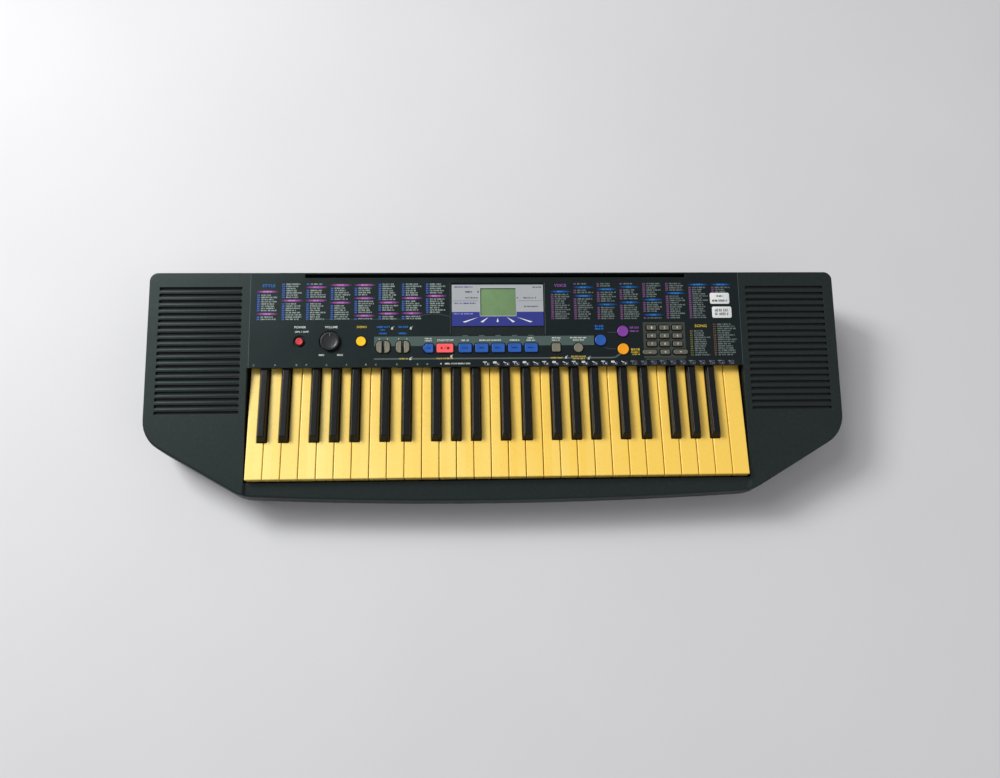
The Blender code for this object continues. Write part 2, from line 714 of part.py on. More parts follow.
def inner_walls():
    """Walls of the key well and of the music rest slot, and the bosses for the boards."""
    bm = bmesh.new()
    outer_x = WELL_HALF + WELL_WALL
    outer_y = WELL_FRONT_Y - WELL_WALL
    rear = LIP_Y + CHEEK_TAIL
    low = KEY_TOP_Z - WELL_WALL_DEPTH
    high = LIP_TOP_Z + OVERSHOOT
    walls = [
        (-outer_x, rear), (-outer_x, outer_y), (outer_x, outer_y), (outer_x, rear),
        (WELL_HALF, rear), (WELL_HALF, WELL_FRONT_Y), (-WELL_HALF, WELL_FRONT_Y), (-WELL_HALF, rear),
    ]
    add_prism(bm, walls, low, high)
    rest_x = REST_SLOT_LENGTH / 2 + REST_SLOT_WALL
    rest_front = REAR_Y - CASE_WALL - REST_SLOT_WIDTH - REST_SLOT_WALL
    rest_floor = rest_slot_floor() - REST_SLOT_WALL
    add_box(bm, (-rest_x, rest_front, rest_floor), (rest_x, REAR_Y, rest_floor + PANEL_DEPTH))
    for x, v in [(x, BOSS_V) for x in BOSS_XS] + display_bosses():
        add_cylinder(bm, x, v, BOSS_RADIUS, BOARD_TOP_W + SEAT_GAP, 0, BOSS_SIDES, PANEL)
    return bm


def rest_slot_floor():
    """Height of the floor of the music rest slot."""
    return LIP_TOP_Z + math.tan(PANEL_TILT) * (REAR_Y - CASE_WALL - REST_SLOT_WIDTH - LIP_Y) - REST_SLOT_DEPTH


def display_bosses():
    """Places of the two bosses at the rear corners of the board under the display."""
    x, v = WINDOW_AT
    reach = WINDOW_WIDTH / 2 + MODULE_MARGIN - BOSS_RADIUS - OVERLAP
    return [(x - reach, v + WINDOW_HEIGHT / 2), (x + reach, v + WINDOW_HEIGHT / 2)]


def upper_case(finish):
    """The upper case: pods, front rail and panel in one shell, with all its openings."""
    bm = bmesh.new()
    add_prism(bm, case_outline(0.0), PARTING_Z + SEAT_GAP, LIP_TOP_Z + PANEL_DEPTH)
    case = add_object("upper_case", bm, PARTS, finish)
    for name, add_cut in (("panel_top", add_above_panel), ("rail_top", add_above_rail)):
        bm = bmesh.new()
        add_cut(bm, 0.0)
        combine(case, add_object(name, bm, CUTTERS), "DIFFERENCE")
    bake(case)

    def is_rim(edge):
        rises = sorted(face.normal.z for face in edge.link_faces)
        return len(rises) == 2 and abs(rises[0]) < 0.05 and rises[1] > 0.5

    round_edges(case, TOP_EDGE, 2, is_rim)
    combine(case, case_cavity(), "DIFFERENCE")
    combine(case, add_object("recesses", case_recesses(), CUTTERS), "DIFFERENCE")
    bm = bmesh.new()
    plate_low = -DISPLAY_RECESS_DEPTH - OVERLAP
    add_prism(bm, block(*PLATE_AT, PLATE_WIDTH, PLATE_HEIGHT), plate_low, -SEAT_GAP, PANEL)
    combine(case, add_object("display_plate", bm, CUTTERS), "UNION")
    for name, shape in (("grilles", grille_slots), ("control_holes", control_holes), ("pad_holes", pad_holes)):
        combine(case, add_object(name, shape(), CUTTERS), "DIFFERENCE")
    return case


def case_recesses():
    """The key well, the music rest slot and the sunk areas of the panel."""
    bm = bmesh.new()
    well_low = KEY_TOP_Z - WELL_WALL_DEPTH - OVERSHOOT
    add_box(bm, (-WELL_HALF, WELL_FRONT_Y, well_low), (WELL_HALF, LIP_Y, LIP_TOP_Z + OVERSHOOT))
    rest_x = REST_SLOT_LENGTH / 2
    rest_rear = REAR_Y - CASE_WALL
    rest_low = rest_slot_floor()
    add_box(bm, (-rest_x, rest_rear - REST_SLOT_WIDTH, rest_low), (rest_x, rest_rear, rest_low + PANEL_DEPTH))
    add_prism(bm, block(*RECESS_AT, RECESS_WIDTH, RECESS_HEIGHT), -DISPLAY_RECESS_DEPTH, OVERSHOOT, PANEL)
    add_prism(bm, disc(*POWER_AT, POWER_RECESS), -RECESS_DEPTH, OVERSHOOT, PANEL)
    add_prism(bm, disc(*KNOB_AT, KNOB_RECESS, sides=28), -RECESS_DEPTH, OVERSHOOT, PANEL)
    return bm


def grille_slots():
    """The slots of both speaker grilles."""
    bm = bmesh.new()
    low = -PANEL_WALL - OVERSHOOT / 2
    grille_x = HALF_WIDTH - GRILLE_INSET - GRILLE_WIDTH / 2
    for side in (-1, 1):
        for number in range(GRILLE_SLOTS):
            v = GRILLE_CENTRE_V + (number - (GRILLE_SLOTS - 1) / 2) * GRILLE_PITCH
            start = (side * grille_x - GRILLE_WIDTH / 2, v - GRILLE_SLOT / 2, low)
            end = (side * grille_x + GRILLE_WIDTH / 2, v + GRILLE_SLOT / 2, OVERSHOOT)
            add_box(bm, start, end, PANEL)
    return bm


def add_holes(bm, outlines):
    """Through holes in the panel."""
    for outline in outlines:
        add_prism(bm, outline, -PANEL_WALL - OVERSHOOT / 2, OVERSHOOT, PANEL)


def control_holes():
    """The display window, the holes of the buttons and of the knob, and the jacks' holes in the rear wall."""
    bm = bmesh.new()
    outlines = [block(*WINDOW_AT, WINDOW_WIDTH, WINDOW_HEIGHT)]
    outlines.append(disc(*POWER_AT, POWER_DIAMETER, BUTTON_GAP))
    outlines.append(disc(*KNOB_AT, KNOB_STEM, BUTTON_GAP, BAR_SIDES))
    add_holes(bm, outlines + panel_button_outlines(BUTTON_GAP))
    for x in JACK_XS:
        place = Matrix.Translation((x, REAR_Y, jack_z())) @ ALONG
        add_cylinder(bm, 0, 0, JACK_WALL_HOLE / 2, -OVERSHOOT / 2, OVERSHOOT / 2, ROUND_SIDES, place)
    return bm


def pad_holes():
    """The holes of the number keys."""
    bm = bmesh.new()
    add_holes(bm, pad_key_outlines(BUTTON_GAP))
    return bm


def jack_z():
    """Height of the axis of the jacks, which hang under the rear edge of the board."""
    board_low = BOARD_TOP_W - BOARD
    rear = REAR_Y - CASE_WALL - JACK_DEPTH - LIP_Y
    return LIP_TOP_Z + rear * math.tan(PANEL_TILT) + board_low / math.cos(PANEL_TILT) + MM - JACK_HEIGHT / 2


def add_tray(bm, wall, floor, top):
    """A solid that runs from the floor's inset plan up to the full plan of the case."""
    add_prism(bm, case_outline(wall), floor, top)
    lower = case_outline(wall + UNDERCUT)
    upper = case_outline(wall)
    for corner in bm.verts:
        if corner.co.z < (floor + top) / 2:
            gaps = [math.hypot(corner.co.x - x, corner.co.y - y) for x, y in upper]
            corner.co.x, corner.co.y = lower[gaps.index(min(gaps))]


def lower_case(finish):
    """The lower case: a tray with the battery bay, bosses for the key frame, and feet."""
    bm = bmesh.new()
    add_tray(bm, 0.0, FOOT_HEIGHT, PARTING_Z)
    case = add_object("lower_case", bm, PARTS, finish)
    bm = bmesh.new()
    add_tray(bm, CASE_WALL, FLOOR_TOP_Z, PARTING_Z + OVERLAP)
    combine(case, add_object("tray_cavity", bm, CUTTERS), "DIFFERENCE")
    combine(case, add_object("tray_bosses", tray_bosses(), CUTTERS), "UNION")
    bm = bmesh.new()
    bay_x = BAY_LENGTH / 2 + BAY_WALL
    bay_top = FLOOR_TOP_Z + BAY_HEIGHT + BAY_WALL
    low = (-bay_x, BAY_FRONT_Y - BAY_WALL, FLOOR_TOP_Z - OVERLAP)
    add_box(bm, low, (bay_x, BAY_REAR_Y + BAY_WALL, bay_top))
    combine(case, add_object("bay_outside", bm, CUTTERS), "UNION")
    bm = bmesh.new()
    bay_x = BAY_LENGTH / 2
    add_box(bm, (-bay_x, BAY_FRONT_Y, FOOT_HEIGHT - OVERSHOOT), (bay_x, BAY_REAR_Y, FLOOR_TOP_Z + BAY_HEIGHT))
    combine(case, add_object("bay_inside", bm, CUTTERS), "DIFFERENCE")
    bm = bmesh.new()
    for x in DOOR_TAB_XS:
        reach = DOOR_TAB_WIDTH / 2 + DOOR_GAP * 2
        low = (x - reach, BAY_FRONT_Y - BAY_WALL - OVERLAP, FLOOR_TOP_Z)
        add_box(bm, low, (x + reach, BAY_FRONT_Y + OVERLAP, FLOOR_TOP_Z + DOOR_NOTCH_RISE))
    combine(case, add_object("tray_holes", bm, CUTTERS), "DIFFERENCE")
    combine(case, add_object("feet", feet(), CUTTERS), "UNION")
    return case


def feet():
    """The four round feet."""
    bm = bmesh.new()
    rear_foot = (HALF_WIDTH - FOOT_SIDE_INSET, REAR_Y - FOOT_REAR_INSET)
    front_foot = (FRONT_FOOT_X, FRONT_Y + FOOT_FRONT_INSET)
    for x, y in (rear_foot, front_foot):
        for side in (-1, 1):
            add_cylinder(bm, side * x, y, FOOT_RADIUS, 0, FOOT_HEIGHT + OVERLAP, ROUND_SIDES)
    return bm


def tray_bosses():
    """The ten bosses on the floor that carry the key frame."""
    bm = bmesh.new()
    frame_low = FRAME_TOP_Z - FRAME_PLATE - SEAT_GAP
    for x in frame_boss_xs():
        for y in (KEY_FRONT_Y + WHITE_POST_SETBACK, LIP_Y):
            add_cylinder(bm, x, y, BOSS_RADIUS * 1.5, FLOOR_TOP_Z - OVERLAP, frame_low, BOSS_SIDES)
    return bm


def frame_boss_xs():
    """Places along the keys of the bosses under the key frame."""
    return [WELL_HALF * share for share in (-0.9, -0.45, 0.0, 0.45, 0.9)]


def battery_door(finish):
    """The battery door, hooked over the bay's front edge: its origin is on the hook's axis."""
    hinge = Vector((0, BAY_FRONT_Y + DOOR_GAP, FOOT_HEIGHT))
    half = BAY_LENGTH / 2 - DOOR_GAP
    depth = BAY_DEPTH - 2 * DOOR_GAP
    bm = bmesh.new()
    add_box(bm, (-half, 0, 0), (half, depth, DOOR_THICKNESS))
    door = add_object("battery_door", bm, PARTS, finish)
    door.location = hinge
    bm = bmesh.new()
    tab_low = FLOOR_TOP_Z + SEAT_GAP - FOOT_HEIGHT
    for x in DOOR_TAB_XS:
        profile = [
            (DOOR_TAB_ROOT, DOOR_THICKNESS - OVERLAP), (DOOR_TAB_ROOT, tab_low + DOOR_TAB_THICKNESS),
            (-DOOR_TAB_REACH, tab_low + DOOR_TAB_THICKNESS), (-DOOR_TAB_REACH, tab_low),
            (0, tab_low), (0, DOOR_THICKNESS - OVERLAP),
        ]
        start = x - DOOR_TAB_WIDTH / 2
        add_prism(bm, profile, start, start + DOOR_TAB_WIDTH, Matrix.Translation(hinge) @ ACROSS)
    for side in (-1, 1):
        x = side * DOOR_LATCH_X
        half_width = DOOR_LATCH_WIDTH / 2
        front = depth - DOOR_LATCH_INSET - KEY_WALL
        low = hinge + Vector((x - half_width, front, DOOR_THICKNESS - OVERLAP))
        high = hinge + Vector((x + half_width, front + KEY_WALL, DOOR_THICKNESS + DOOR_LATCH_HEIGHT))
        add_box(bm, low, high)
    combine(door, add_object("door_tabs", bm, CUTTERS), "UNION")
    return door


def key_frame(finish):
    """The key frame: base plate, stop rail, guide posts, contact strip, ribs and pivot bar."""
    half = WELL_HALF - WELL_SIDE_GAP + OVERLAP
    front = KEY_FRONT_Y + KEY_WALL
    rear = LUG_END_Y + WELL_WALL
    base = FRAME_TOP_Z - OVERLAP
    bm = bmesh.new()
    add_box(bm, (-half, front, FRAME_TOP_Z - FRAME_PLATE), (half, rear, FRAME_TOP_Z))
    frame = add_object("key_frame", bm, PARTS, finish)
    bm = bmesh.new()
    rail_top = KEY_BOTTOM_Z - drop_at(front) - SEAT_GAP
    add_box(bm, (-half, front + OVERLAP, base), (half, front + STOP_RAIL_WIDTH, rail_top))
    ledge_front = PIVOT_Y + PIVOT_BAR_RADIUS + KEY_WALL
    add_box(bm, (-half, ledge_front, base), (half, rear, KEY_BOTTOM_Z + OVERLAP - SEAT_GAP))
    guide_posts(bm, base)
    combine(frame, add_object("frame_rails", bm, CUTTERS), "UNION")
    combine(frame, add_object("contact_strip", contact_strip(), CUTTERS), "UNION")
    bm = bmesh.new()
    for x in rib_xs(half):
        low = (x - PIVOT_RIB / 2, TAIL_END_Y + WHITE_GAP, base)
        add_box(bm, low, (x + PIVOT_RIB / 2, rear - OVERLAP, PIVOT_Z + PIVOT_BAR_RADIUS + KEY_WALL))
    combine(frame, add_object("frame_ribs", bm, CUTTERS), "UNION")
    bm = bmesh.new()
    bar = [(y, z) for y, z in disc(PIVOT_Y, PIVOT_Z, 2 * PIVOT_BAR_RADIUS, sides=BAR_SIDES)]
    reach = half - PIVOT_RIB / 2
    add_prism(bm, bar, -reach, reach, ACROSS)
    combine(frame, add_object("pivot_bar", bm, CUTTERS), "UNION")
    return frame


def guide_posts(bm, base):
    """A post inside each key's hollow: under the heads of the whites and the caps of the blacks."""
    white_y = KEY_FRONT_Y + WHITE_POST_SETBACK
    white_top = KEY_TOP_Z - KEY_ROOF - drop_at(white_y) - POST_GAP
    black_y = KEY_FRONT_Y + BLACK_POST_SETBACK
    places = [(white_x(index), white_y, WHITE_PITCH - WHITE_GAP, white_top) for index in range(WHITE_COUNT)]
    for index in range(WHITE_COUNT):
        if black_after(index) is not None:
            places.append((black_after(index), black_y, BLACK_WIDTH, KEY_BOTTOM_Z + BLACK_POST_GRIP))
    for x, y, width, top in places:
        half = width / 2 - KEY_WALL - POST_GAP
        add_box(bm, (x - half, y - POST_DEPTH / 2, base), (x + half, y + POST_DEPTH / 2, top))


def rib_xs(half):
    """Places of the ribs that carry the pivot bar: beside the end keys, and wherever two whites meet."""
    places = [-half + PIVOT_RIB / 2, half - PIVOT_RIB / 2]
    for index in range(WHITE_COUNT - 2):
        if black_after(index) is None:
            places.append(white_x(index) + WHITE_PITCH / 2)
    return places


def panel_buttons(finish):
    """The buttons of the panel: caps with flanges under the panel, on one thin web."""
    bm = bmesh.new()
    low_w = BUTTON_SEAT_W - BUTTON_FLANGE
    for outline in panel_button_outlines(0.0):
        add_prism(bm, outline, low_w + OVERLAP, BUTTON_RISE)
    buttons = add_object("panel_buttons", bm, PARTS, finish)
    buttons.matrix_world = PANEL
    top = BUTTON_RISE - BUTTON_EDGE / 2
    round_edges(buttons, BUTTON_EDGE, 1, lambda edge: all(corner.co.z > top for corner in edge.verts))
    bm = bmesh.new()
    for outline in panel_button_outlines(BUTTON_FLANGE_REACH):
        xs = [x for x, v in outline]
        vs = [v for x, v in outline]
        add_box(bm, (min(xs), min(vs), low_w), (max(xs), max(vs), BUTTON_SEAT_W), PANEL)
    web = BUTTON_WEB / 2
    add_box(bm, (DEMO_AT[0], ROW_V - web, low_w), (SELECT_AT[1][0], ROW_V + web, BUTTON_SEAT_W), PANEL)
    low = (SELECT_AT[2][0] - web, SELECT_AT[2][1], low_w)
    add_box(bm, low, (SELECT_AT[1][0] + web, SELECT_AT[1][1], BUTTON_SEAT_W), PANEL)
    combine(buttons, add_object("button_flanges", bm, CUTTERS), "UNION")
    buttons.modifiers[-1].use_self = True
    shade_round(buttons)
    return buttons


def number_pad(finish):
    """Twelve number keys on one soft web under the panel."""
    pad_x, pad_v = PAD_AT
    bm = bmesh.new()
    low_w = BUTTON_SEAT_W - BUTTON_FLANGE
    half_x = PAD_WIDE_OFFSET + PAD_WIDE_KEY / 2 + PAD_WEB_MARGIN
    half_v = 1.5 * PAD_ROW_PITCH + PAD_KEY_HEIGHT / 2 + PAD_WEB_MARGIN
    add_box(bm, (pad_x - half_x, pad_v - half_v, low_w), (pad_x + half_x, pad_v + half_v, BUTTON_SEAT_W))
    pad = add_object("number_pad", bm, PARTS, finish)
    pad.matrix_world = PANEL
    bm = bmesh.new()
    for outline in pad_key_outlines(0.0):
        add_prism(bm, outline, low_w + OVERLAP, PAD_KEY_RISE, PANEL)
    combine(pad, add_object("pad_keys", bm, CUTTERS), "UNION")
    return pad


def turned(name, profile, sides, group, finish=None):
    """A turned solid from its profile (radius, height), listed from the top down its outer side."""
    bm = bmesh.new()
    corners = [bm.verts.new((radius, 0, height)) for radius, height in profile]
    for first, second in zip(corners, corners[1:]):
        bm.edges.new((first, second))
    item = add_object(name, bm, group, finish)
    modifier = item.modifiers.new("turn", "SCREW")
    modifier.steps = sides
    modifier.render_steps = sides
    modifier.use_merge_vertices = True
    modifier.merge_threshold = 0.00001
    return item


def volume_knob(finish):
    """The volume knob on its stem, turning about its own origin."""
    radius = KNOB_DIAMETER / 2
    stem = KNOB_STEM / 2
    base = -RECESS_DEPTH + SEAT_GAP
    profile = [
        (0, KNOB_RISE - 0.4 * MM), (radius * 0.66, KNOB_RISE - 0.4 * MM), (radius * 0.72, KNOB_RISE),
        (radius * 0.86, KNOB_RISE), (radius, KNOB_RISE * 0.5), (radius, base), (stem, base),
        (stem, BOARD_TOP_W + SEAT_GAP), (0, BOARD_TOP_W + SEAT_GAP),
    ]
    knob = turned("volume_knob", profile, 28, PARTS, finish)
    knob.matrix_world = PANEL @ Matrix.Translation((*KNOB_AT, 0))
    bm = bmesh.new()
    mark = PANEL @ Matrix.Translation((*KNOB_AT, 0))
    add_box(bm, (-0.6 * MM, radius * 0.45, KNOB_RISE - MM), (0.6 * MM, radius * 0.8, KNOB_RISE + MM), mark)
    combine(knob, add_object("knob_mark", bm, CUTTERS), "DIFFERENCE")
    shade_round(knob)
    return knob


def power_button(finish):
    """The round power button, pressed along its own axis."""
    radius = POWER_DIAMETER / 2
    flange = radius + BUTTON_GAP + BUTTON_FLANGE_REACH
    profile = [
        (0, POWER_RISE), (radius - BUTTON_EDGE, POWER_RISE), (radius, POWER_RISE - BUTTON_EDGE),
        (radius, BUTTON_SEAT_W), (flange, BUTTON_SEAT_W),
        (flange, BUTTON_SEAT_W - BUTTON_FLANGE), (0, BUTTON_SEAT_W - BUTTON_FLANGE),
    ]
    button = turned("power_button", profile, ROUND_SIDES, PARTS, finish)
    button.matrix_world = PANEL @ Matrix.Translation((*POWER_AT, 0))
    shade_round(button)
    return button


def speaker(name, side, finish):
    """A loudspeaker under a grille, turned about its own axis."""
    rim = SPEAKER_RADIUS
    profile = [
        (0, -SPEAKER_CONE_DEPTH), (SPEAKER_CONE_FLOOR, -SPEAKER_CONE_DEPTH),
        (rim - SPEAKER_RIM, -SPEAKER_RIM_DEPTH / 2), (rim - SPEAKER_RIM / 2, 0), (rim, 0),
        (rim, -SPEAKER_RIM_DEPTH), (rim - SPEAKER_BASKET_LIP, -SPEAKER_RIM_DEPTH),
        (SPEAKER_MAGNET + SPEAKER_BASKET_LIP, -SPEAKER_BASKET_DEPTH), (SPEAKER_MAGNET, -SPEAKER_BASKET_DEPTH),
        (SPEAKER_MAGNET, -SPEAKER_DEPTH), (0, -SPEAKER_DEPTH),
    ]
    unit = turned(name, profile, SPEAKER_SIDES, PARTS, finish)
    x = side * (HALF_WIDTH - GRILLE_INSET - GRILLE_WIDTH / 2)
    unit.matrix_world = PANEL @ Matrix.Translation((x, GRILLE_CENTRE_V, -PANEL_WALL - SEAT_GAP))
    shade_round(unit)
    return unit


def contact_strip():
    """The strip of contacts on the key frame, with one dome under each key, clear of a pressed key."""
    front = KEY_FRONT_Y + CONTACT_SETBACK
    low = FRAME_TOP_Z - OVERLAP
    base = FRAME_TOP_Z + CONTACT_STRIP
    top = min(base + CONTACT_DOME, KEY_BOTTOM_Z - drop_at(front) - SEAT_GAP)
    centres = [white_x(index) + sum(white_span(index)[2:]) / 2 for index in range(WHITE_COUNT)]
    centres += [black_after(index) for index in range(WHITE_COUNT) if black_after(index) is not None]
    dome = LUG_WIDTH / 2
    half = WELL_HALF - WELL_SIDE_GAP
    points = [(half, low), (-half, low), (-half, base)]
    for x in sorted(centres):
        points += [(x - dome, base), (x - dome / 2, top), (x + dome / 2, top), (x + dome, base)]
    points += [(half, base)]
    bm = bmesh.new()
    add_prism(bm, points[::-1], -CONTACT_DEPTH, 0, Matrix.Translation((0, front, 0)) @ ALONG)
    return bm


def display_board(finish):
    """The circuit board under the panel, with the display on it and the jacks at its rear edge."""
    window_x, window_v = WINDOW_AT
    half = WINDOW_WIDTH / 2 + MODULE_MARGIN
    module_v = window_v + WINDOW_HEIGHT / 2 + BOSS_RADIUS + OVERLAP
    wing_run = REAR_Y - CASE_WALL - SEAT_GAP - LIP_Y
    wing_v = (wing_run + BOARD_TOP_W * math.sin(PANEL_TILT)) / math.cos(PANEL_TILT)
    outline = [
        (BOARD_LEFT_X, BOARD_FRONT_V), (BOARD_RIGHT_X, BOARD_FRONT_V), (BOARD_RIGHT_X, BOARD_REAR_V),
        (window_x + half, BOARD_REAR_V), (window_x + half, module_v), (window_x - half, module_v),
        (window_x - half, BOARD_REAR_V), (JACK_WING_X, BOARD_REAR_V), (JACK_WING_X, wing_v - MM),
        (BOARD_LEFT_X, wing_v - MM),
    ]
    bm = bmesh.new()
    add_prism(bm, outline, BOARD_TOP_W - BOARD, BOARD_TOP_W, PANEL)
    board = add_object("display_board", bm, PARTS, finish)
    bm = bmesh.new()
    glass = block(*WINDOW_AT, WINDOW_WIDTH, WINDOW_HEIGHT, grow=-BUTTON_GAP)
    add_prism(bm, glass, BOARD_TOP_W - OVERLAP, -GLASS_DROP, PANEL)
    rear = REAR_Y - CASE_WALL - SEAT_GAP
    for x in JACK_XS:
        low = (x - JACK_WIDTH / 2, rear - JACK_DEPTH, jack_z() - JACK_HEIGHT / 2)
        add_box(bm, low, (x + JACK_WIDTH / 2, rear, jack_z() + JACK_HEIGHT / 2))
    combine(board, add_object("board_parts", bm, CUTTERS), "UNION")
    bm = bmesh.new()
    for x in JACK_XS:
        place = Matrix.Translation((x, rear, jack_z())) @ ALONG
        add_cylinder(bm, 0, 0, JACK_BORE / 2, -OVERSHOOT, JACK_DEPTH - 2 * MM, BAR_SIDES, place)
    combine(board, add_object("jack_bores", bm, CUTTERS), "DIFFERENCE")
    return board


def build():
    """Build every piece of the keyboard."""
    case_grey = material("case_plastic", (0.045, 0.05, 0.048), 0.45)
    base_grey = material("base_plastic", (0.04, 0.042, 0.042), 0.5)
    ivory = material("white_key_plastic", (0.83, 0.62, 0.25), 0.3)
    ebony = material("black_key_plastic", (0.012, 0.012, 0.013), 0.3)
    upper_case(case_grey)
    lower_case(base_grey)
    key_frame(material("frame_plastic", (0.3, 0.3, 0.29), 0.6))
    build_keys(ivory, ebony)
    battery_door(base_grey)
    volume_knob(material("knob_plastic", (0.02, 0.022, 0.023), 0.4))
    power_button(material("power_red", (0.62, 0.03, 0.04), 0.4))
    number_pad(material("pad_rubber", (0.16, 0.15, 0.11), 0.7))
    panel_buttons(material("button_blue", (0.01, 0.08, 0.5), 0.45))
    display_board(material("board_green", (0.03, 0.16, 0.07), 0.5))
    speaker_black = material("speaker_black", (0.03, 0.03, 0.03), 0.6)
    speaker("speaker_left", -1, speaker_black)
    speaker("speaker_right", 1, speaker_black)
    bpy.context.view_layer.update()


build()
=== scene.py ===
"""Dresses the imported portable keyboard: finishes, printing, controls and studio."""

import logging
import math
import random
from abc import ABC, abstractmethod
from collections.abc import Callable, Iterable, Mapping, Sequence
from dataclasses import dataclass
from enum import Enum
from functools import partial
from typing import Any

import bmesh
import bpy
from mathutils import Matrix, Vector


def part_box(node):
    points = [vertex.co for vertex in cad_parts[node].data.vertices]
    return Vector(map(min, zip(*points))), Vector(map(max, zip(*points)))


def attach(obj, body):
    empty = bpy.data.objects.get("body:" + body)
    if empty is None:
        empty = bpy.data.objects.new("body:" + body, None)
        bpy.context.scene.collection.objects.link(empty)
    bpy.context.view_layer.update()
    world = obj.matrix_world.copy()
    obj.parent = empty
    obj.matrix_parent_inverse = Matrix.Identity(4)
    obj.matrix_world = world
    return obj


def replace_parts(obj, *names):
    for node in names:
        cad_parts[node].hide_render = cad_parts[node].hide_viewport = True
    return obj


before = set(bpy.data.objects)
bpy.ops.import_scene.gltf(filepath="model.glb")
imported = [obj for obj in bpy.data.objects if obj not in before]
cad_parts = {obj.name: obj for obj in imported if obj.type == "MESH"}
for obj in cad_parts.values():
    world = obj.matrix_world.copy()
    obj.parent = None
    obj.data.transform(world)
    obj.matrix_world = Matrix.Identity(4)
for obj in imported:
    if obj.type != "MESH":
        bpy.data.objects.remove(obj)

LOG = logging.getLogger("keyboard")
Point = tuple[float, float]
Triple = tuple[float, float, float]
Colour = Triple
Outline = list[Point]
Grown = Callable[[float], Outline]
Ends = tuple[bool, bool]
Quad = tuple[float, float, float, float]

MM = 0.001
CLOSED: Ends = (True, True)
OPEN: Ends = (False, False)
OPEN_BELOW: Ends = (False, True)

# Heights of the printing above what it lies on, in millimetres
INK_LIFT = 0.05
GLOW_LIFT = 0.08
SIGN_LIFT = 0.09
MARK_LIFT = 0.11
STICKER_LIFT = 0.2
BUTTON_LIFT = 0.02
PLATE_LIFT = 0.0

# Sizes and places that both the controls and the printing round them use, in millimetres
BUTTON_RISE = 2.6
BUTTON_CORNER = 2.0
KNOB_CENTRE: Point = (-231.2, 36.1)
HALF_OVAL_X = (-164.2, -153.0, -137.4, -126.3)
OBLONG_X = tuple(0.1 + (number - 2) * 22.9 for number in range(5))


def tone(red: int, green: int, blue: int) -> Colour:
    """Turn an 8-bit display colour into a linear one.

    Args:
        red: Red, 0 to 255.
        green: Green, 0 to 255.
        blue: Blue, 0 to 255.

    Returns:
        The linear colour.
    """
    shares = (value / 255.0 for value in (red, green, blue))
    return tuple(s / 12.92 if s <= 0.04045 else ((s + 0.055) / 1.055) ** 2.4 for s in shares)


def shaded(colour: Colour, share: float, lift: float = 0.0) -> Colour:
    """A colour times a share, lifted a little towards white, at most 1."""
    return tuple(min(1.0, value * share + lift) for value in colour)


class Ink(Enum):
    """The inks and papers of the panel, as linear colours."""

    WHITE = tone(204, 210, 206)
    LIST = tone(146, 160, 154)
    # Dimmer list ink: painted shade on the voice and song names, where the light falls off to the right; also
    # used for the later small signs
    LIST_DIM = tone(112, 122, 120)
    STYLE_STRIP = tone(26, 50, 104)
    STYLE_DIGIT = tone(84, 124, 184)
    STYLE_HEAD = tone(84, 46, 92)
    STYLE_GLOW = tone(140, 74, 146)
    STYLE_MARK = tone(196, 142, 202)
    VOICE_STRIP = tone(60, 38, 64)
    VOICE_DIGIT = tone(142, 100, 150)
    VOICE_HEAD = tone(14, 46, 84)
    VOICE_GLOW = tone(18, 78, 142)
    VOICE_MARK = tone(70, 132, 186)
    LABEL_BLUE = tone(36, 104, 184)
    LABEL_PURPLE = tone(134, 76, 158)
    LABEL_YELLOW = tone(196, 172, 56)
    SONG_OLIVE = tone(134, 128, 62)
    SONG_RED = tone(132, 98, 74)
    SIGN_FRAME = tone(106, 94, 124)
    LINE = tone(78, 90, 90)
    # Painted shade round the buttons' holes
    GAP = tone(8, 9, 10)
    PLATE_BLUE = tone(40, 44, 130)
    PLATE_DARK = tone(52, 54, 66)
    PLATE_PALE = tone(128, 140, 196)
    STICKER = tone(222, 224, 222)
    STICKER_MARK = tone(58, 58, 62)
    STICKER_SOFT = tone(128, 128, 130)
    BUTTON_MARK = tone(14, 40, 110)
    START_MARK = tone(150, 30, 40)


class Hue(Enum):
    """The colours of the moulded buttons."""

    BLUE = tone(18, 84, 170)
    RED = tone(205, 42, 52)
    CORAL = tone(255, 96, 98)
    YELLOW = tone(255, 200, 0)
    ORANGE = tone(250, 164, 6)
    PURPLE = tone(128, 56, 158)
    TAUPE = tone(122, 118, 100)
    PAD = tone(92, 92, 80)


def maths(operation: str, swapped: bool = False) -> Callable[["Signal", Any], "Signal"]:
    """Make an operator that adds one Math node.

    Args:
        operation: The Math node's operation.
        swapped: Whether the other value comes first, as in a reflected operator.

    Returns:
        The operator.
    """

    def apply(signal: "Signal", other: Any) -> "Signal":
        """Work out the operation on a signal and another value."""
        first, second = (other, signal) if swapped else (signal, other)
        return signal.math(operation, first, second)

    return apply


class Signal:
    """A shader socket that takes part in Python arithmetic."""

    __add__ = maths("ADD")
    __radd__ = maths("ADD", swapped=True)
    __sub__ = maths("SUBTRACT")
    __rsub__ = maths("SUBTRACT", swapped=True)
    __mul__ = maths("MULTIPLY")
    __rmul__ = maths("MULTIPLY", swapped=True)
    __truediv__ = maths("DIVIDE")
    __rtruediv__ = maths("DIVIDE", swapped=True)
    __gt__ = maths("GREATER_THAN")
    __lt__ = maths("LESS_THAN")

    def __init__(self, shader: "Shader", socket: bpy.types.NodeSocket) -> None:
        """Wrap one output socket of a shader's node tree."""
        self.shader = shader
        self.socket = socket

    def math(self, operation: str, first: Any, second: Any) -> "Signal":
        """Add one Math node for an operation on two values."""
        node = self.shader.node("ShaderNodeMath", {"operation": operation}, {0: first, 1: second})
        return Signal(self.shader, node.outputs[0])

    def call(self, operation: str, second: Any = 0.0) -> "Signal":
        """Apply a named Math operation, such as SINE or ABSOLUTE."""
        return self.math(operation, self, second)

    def between(self, low: float, high: float) -> "Signal":
        """One where the value lies between two limits, else zero."""
        return (self > low) * (self < high)

    def union(self, other: "Signal") -> "Signal":
        """The larger of two masks."""
        return self.math("MAXIMUM", self, other)


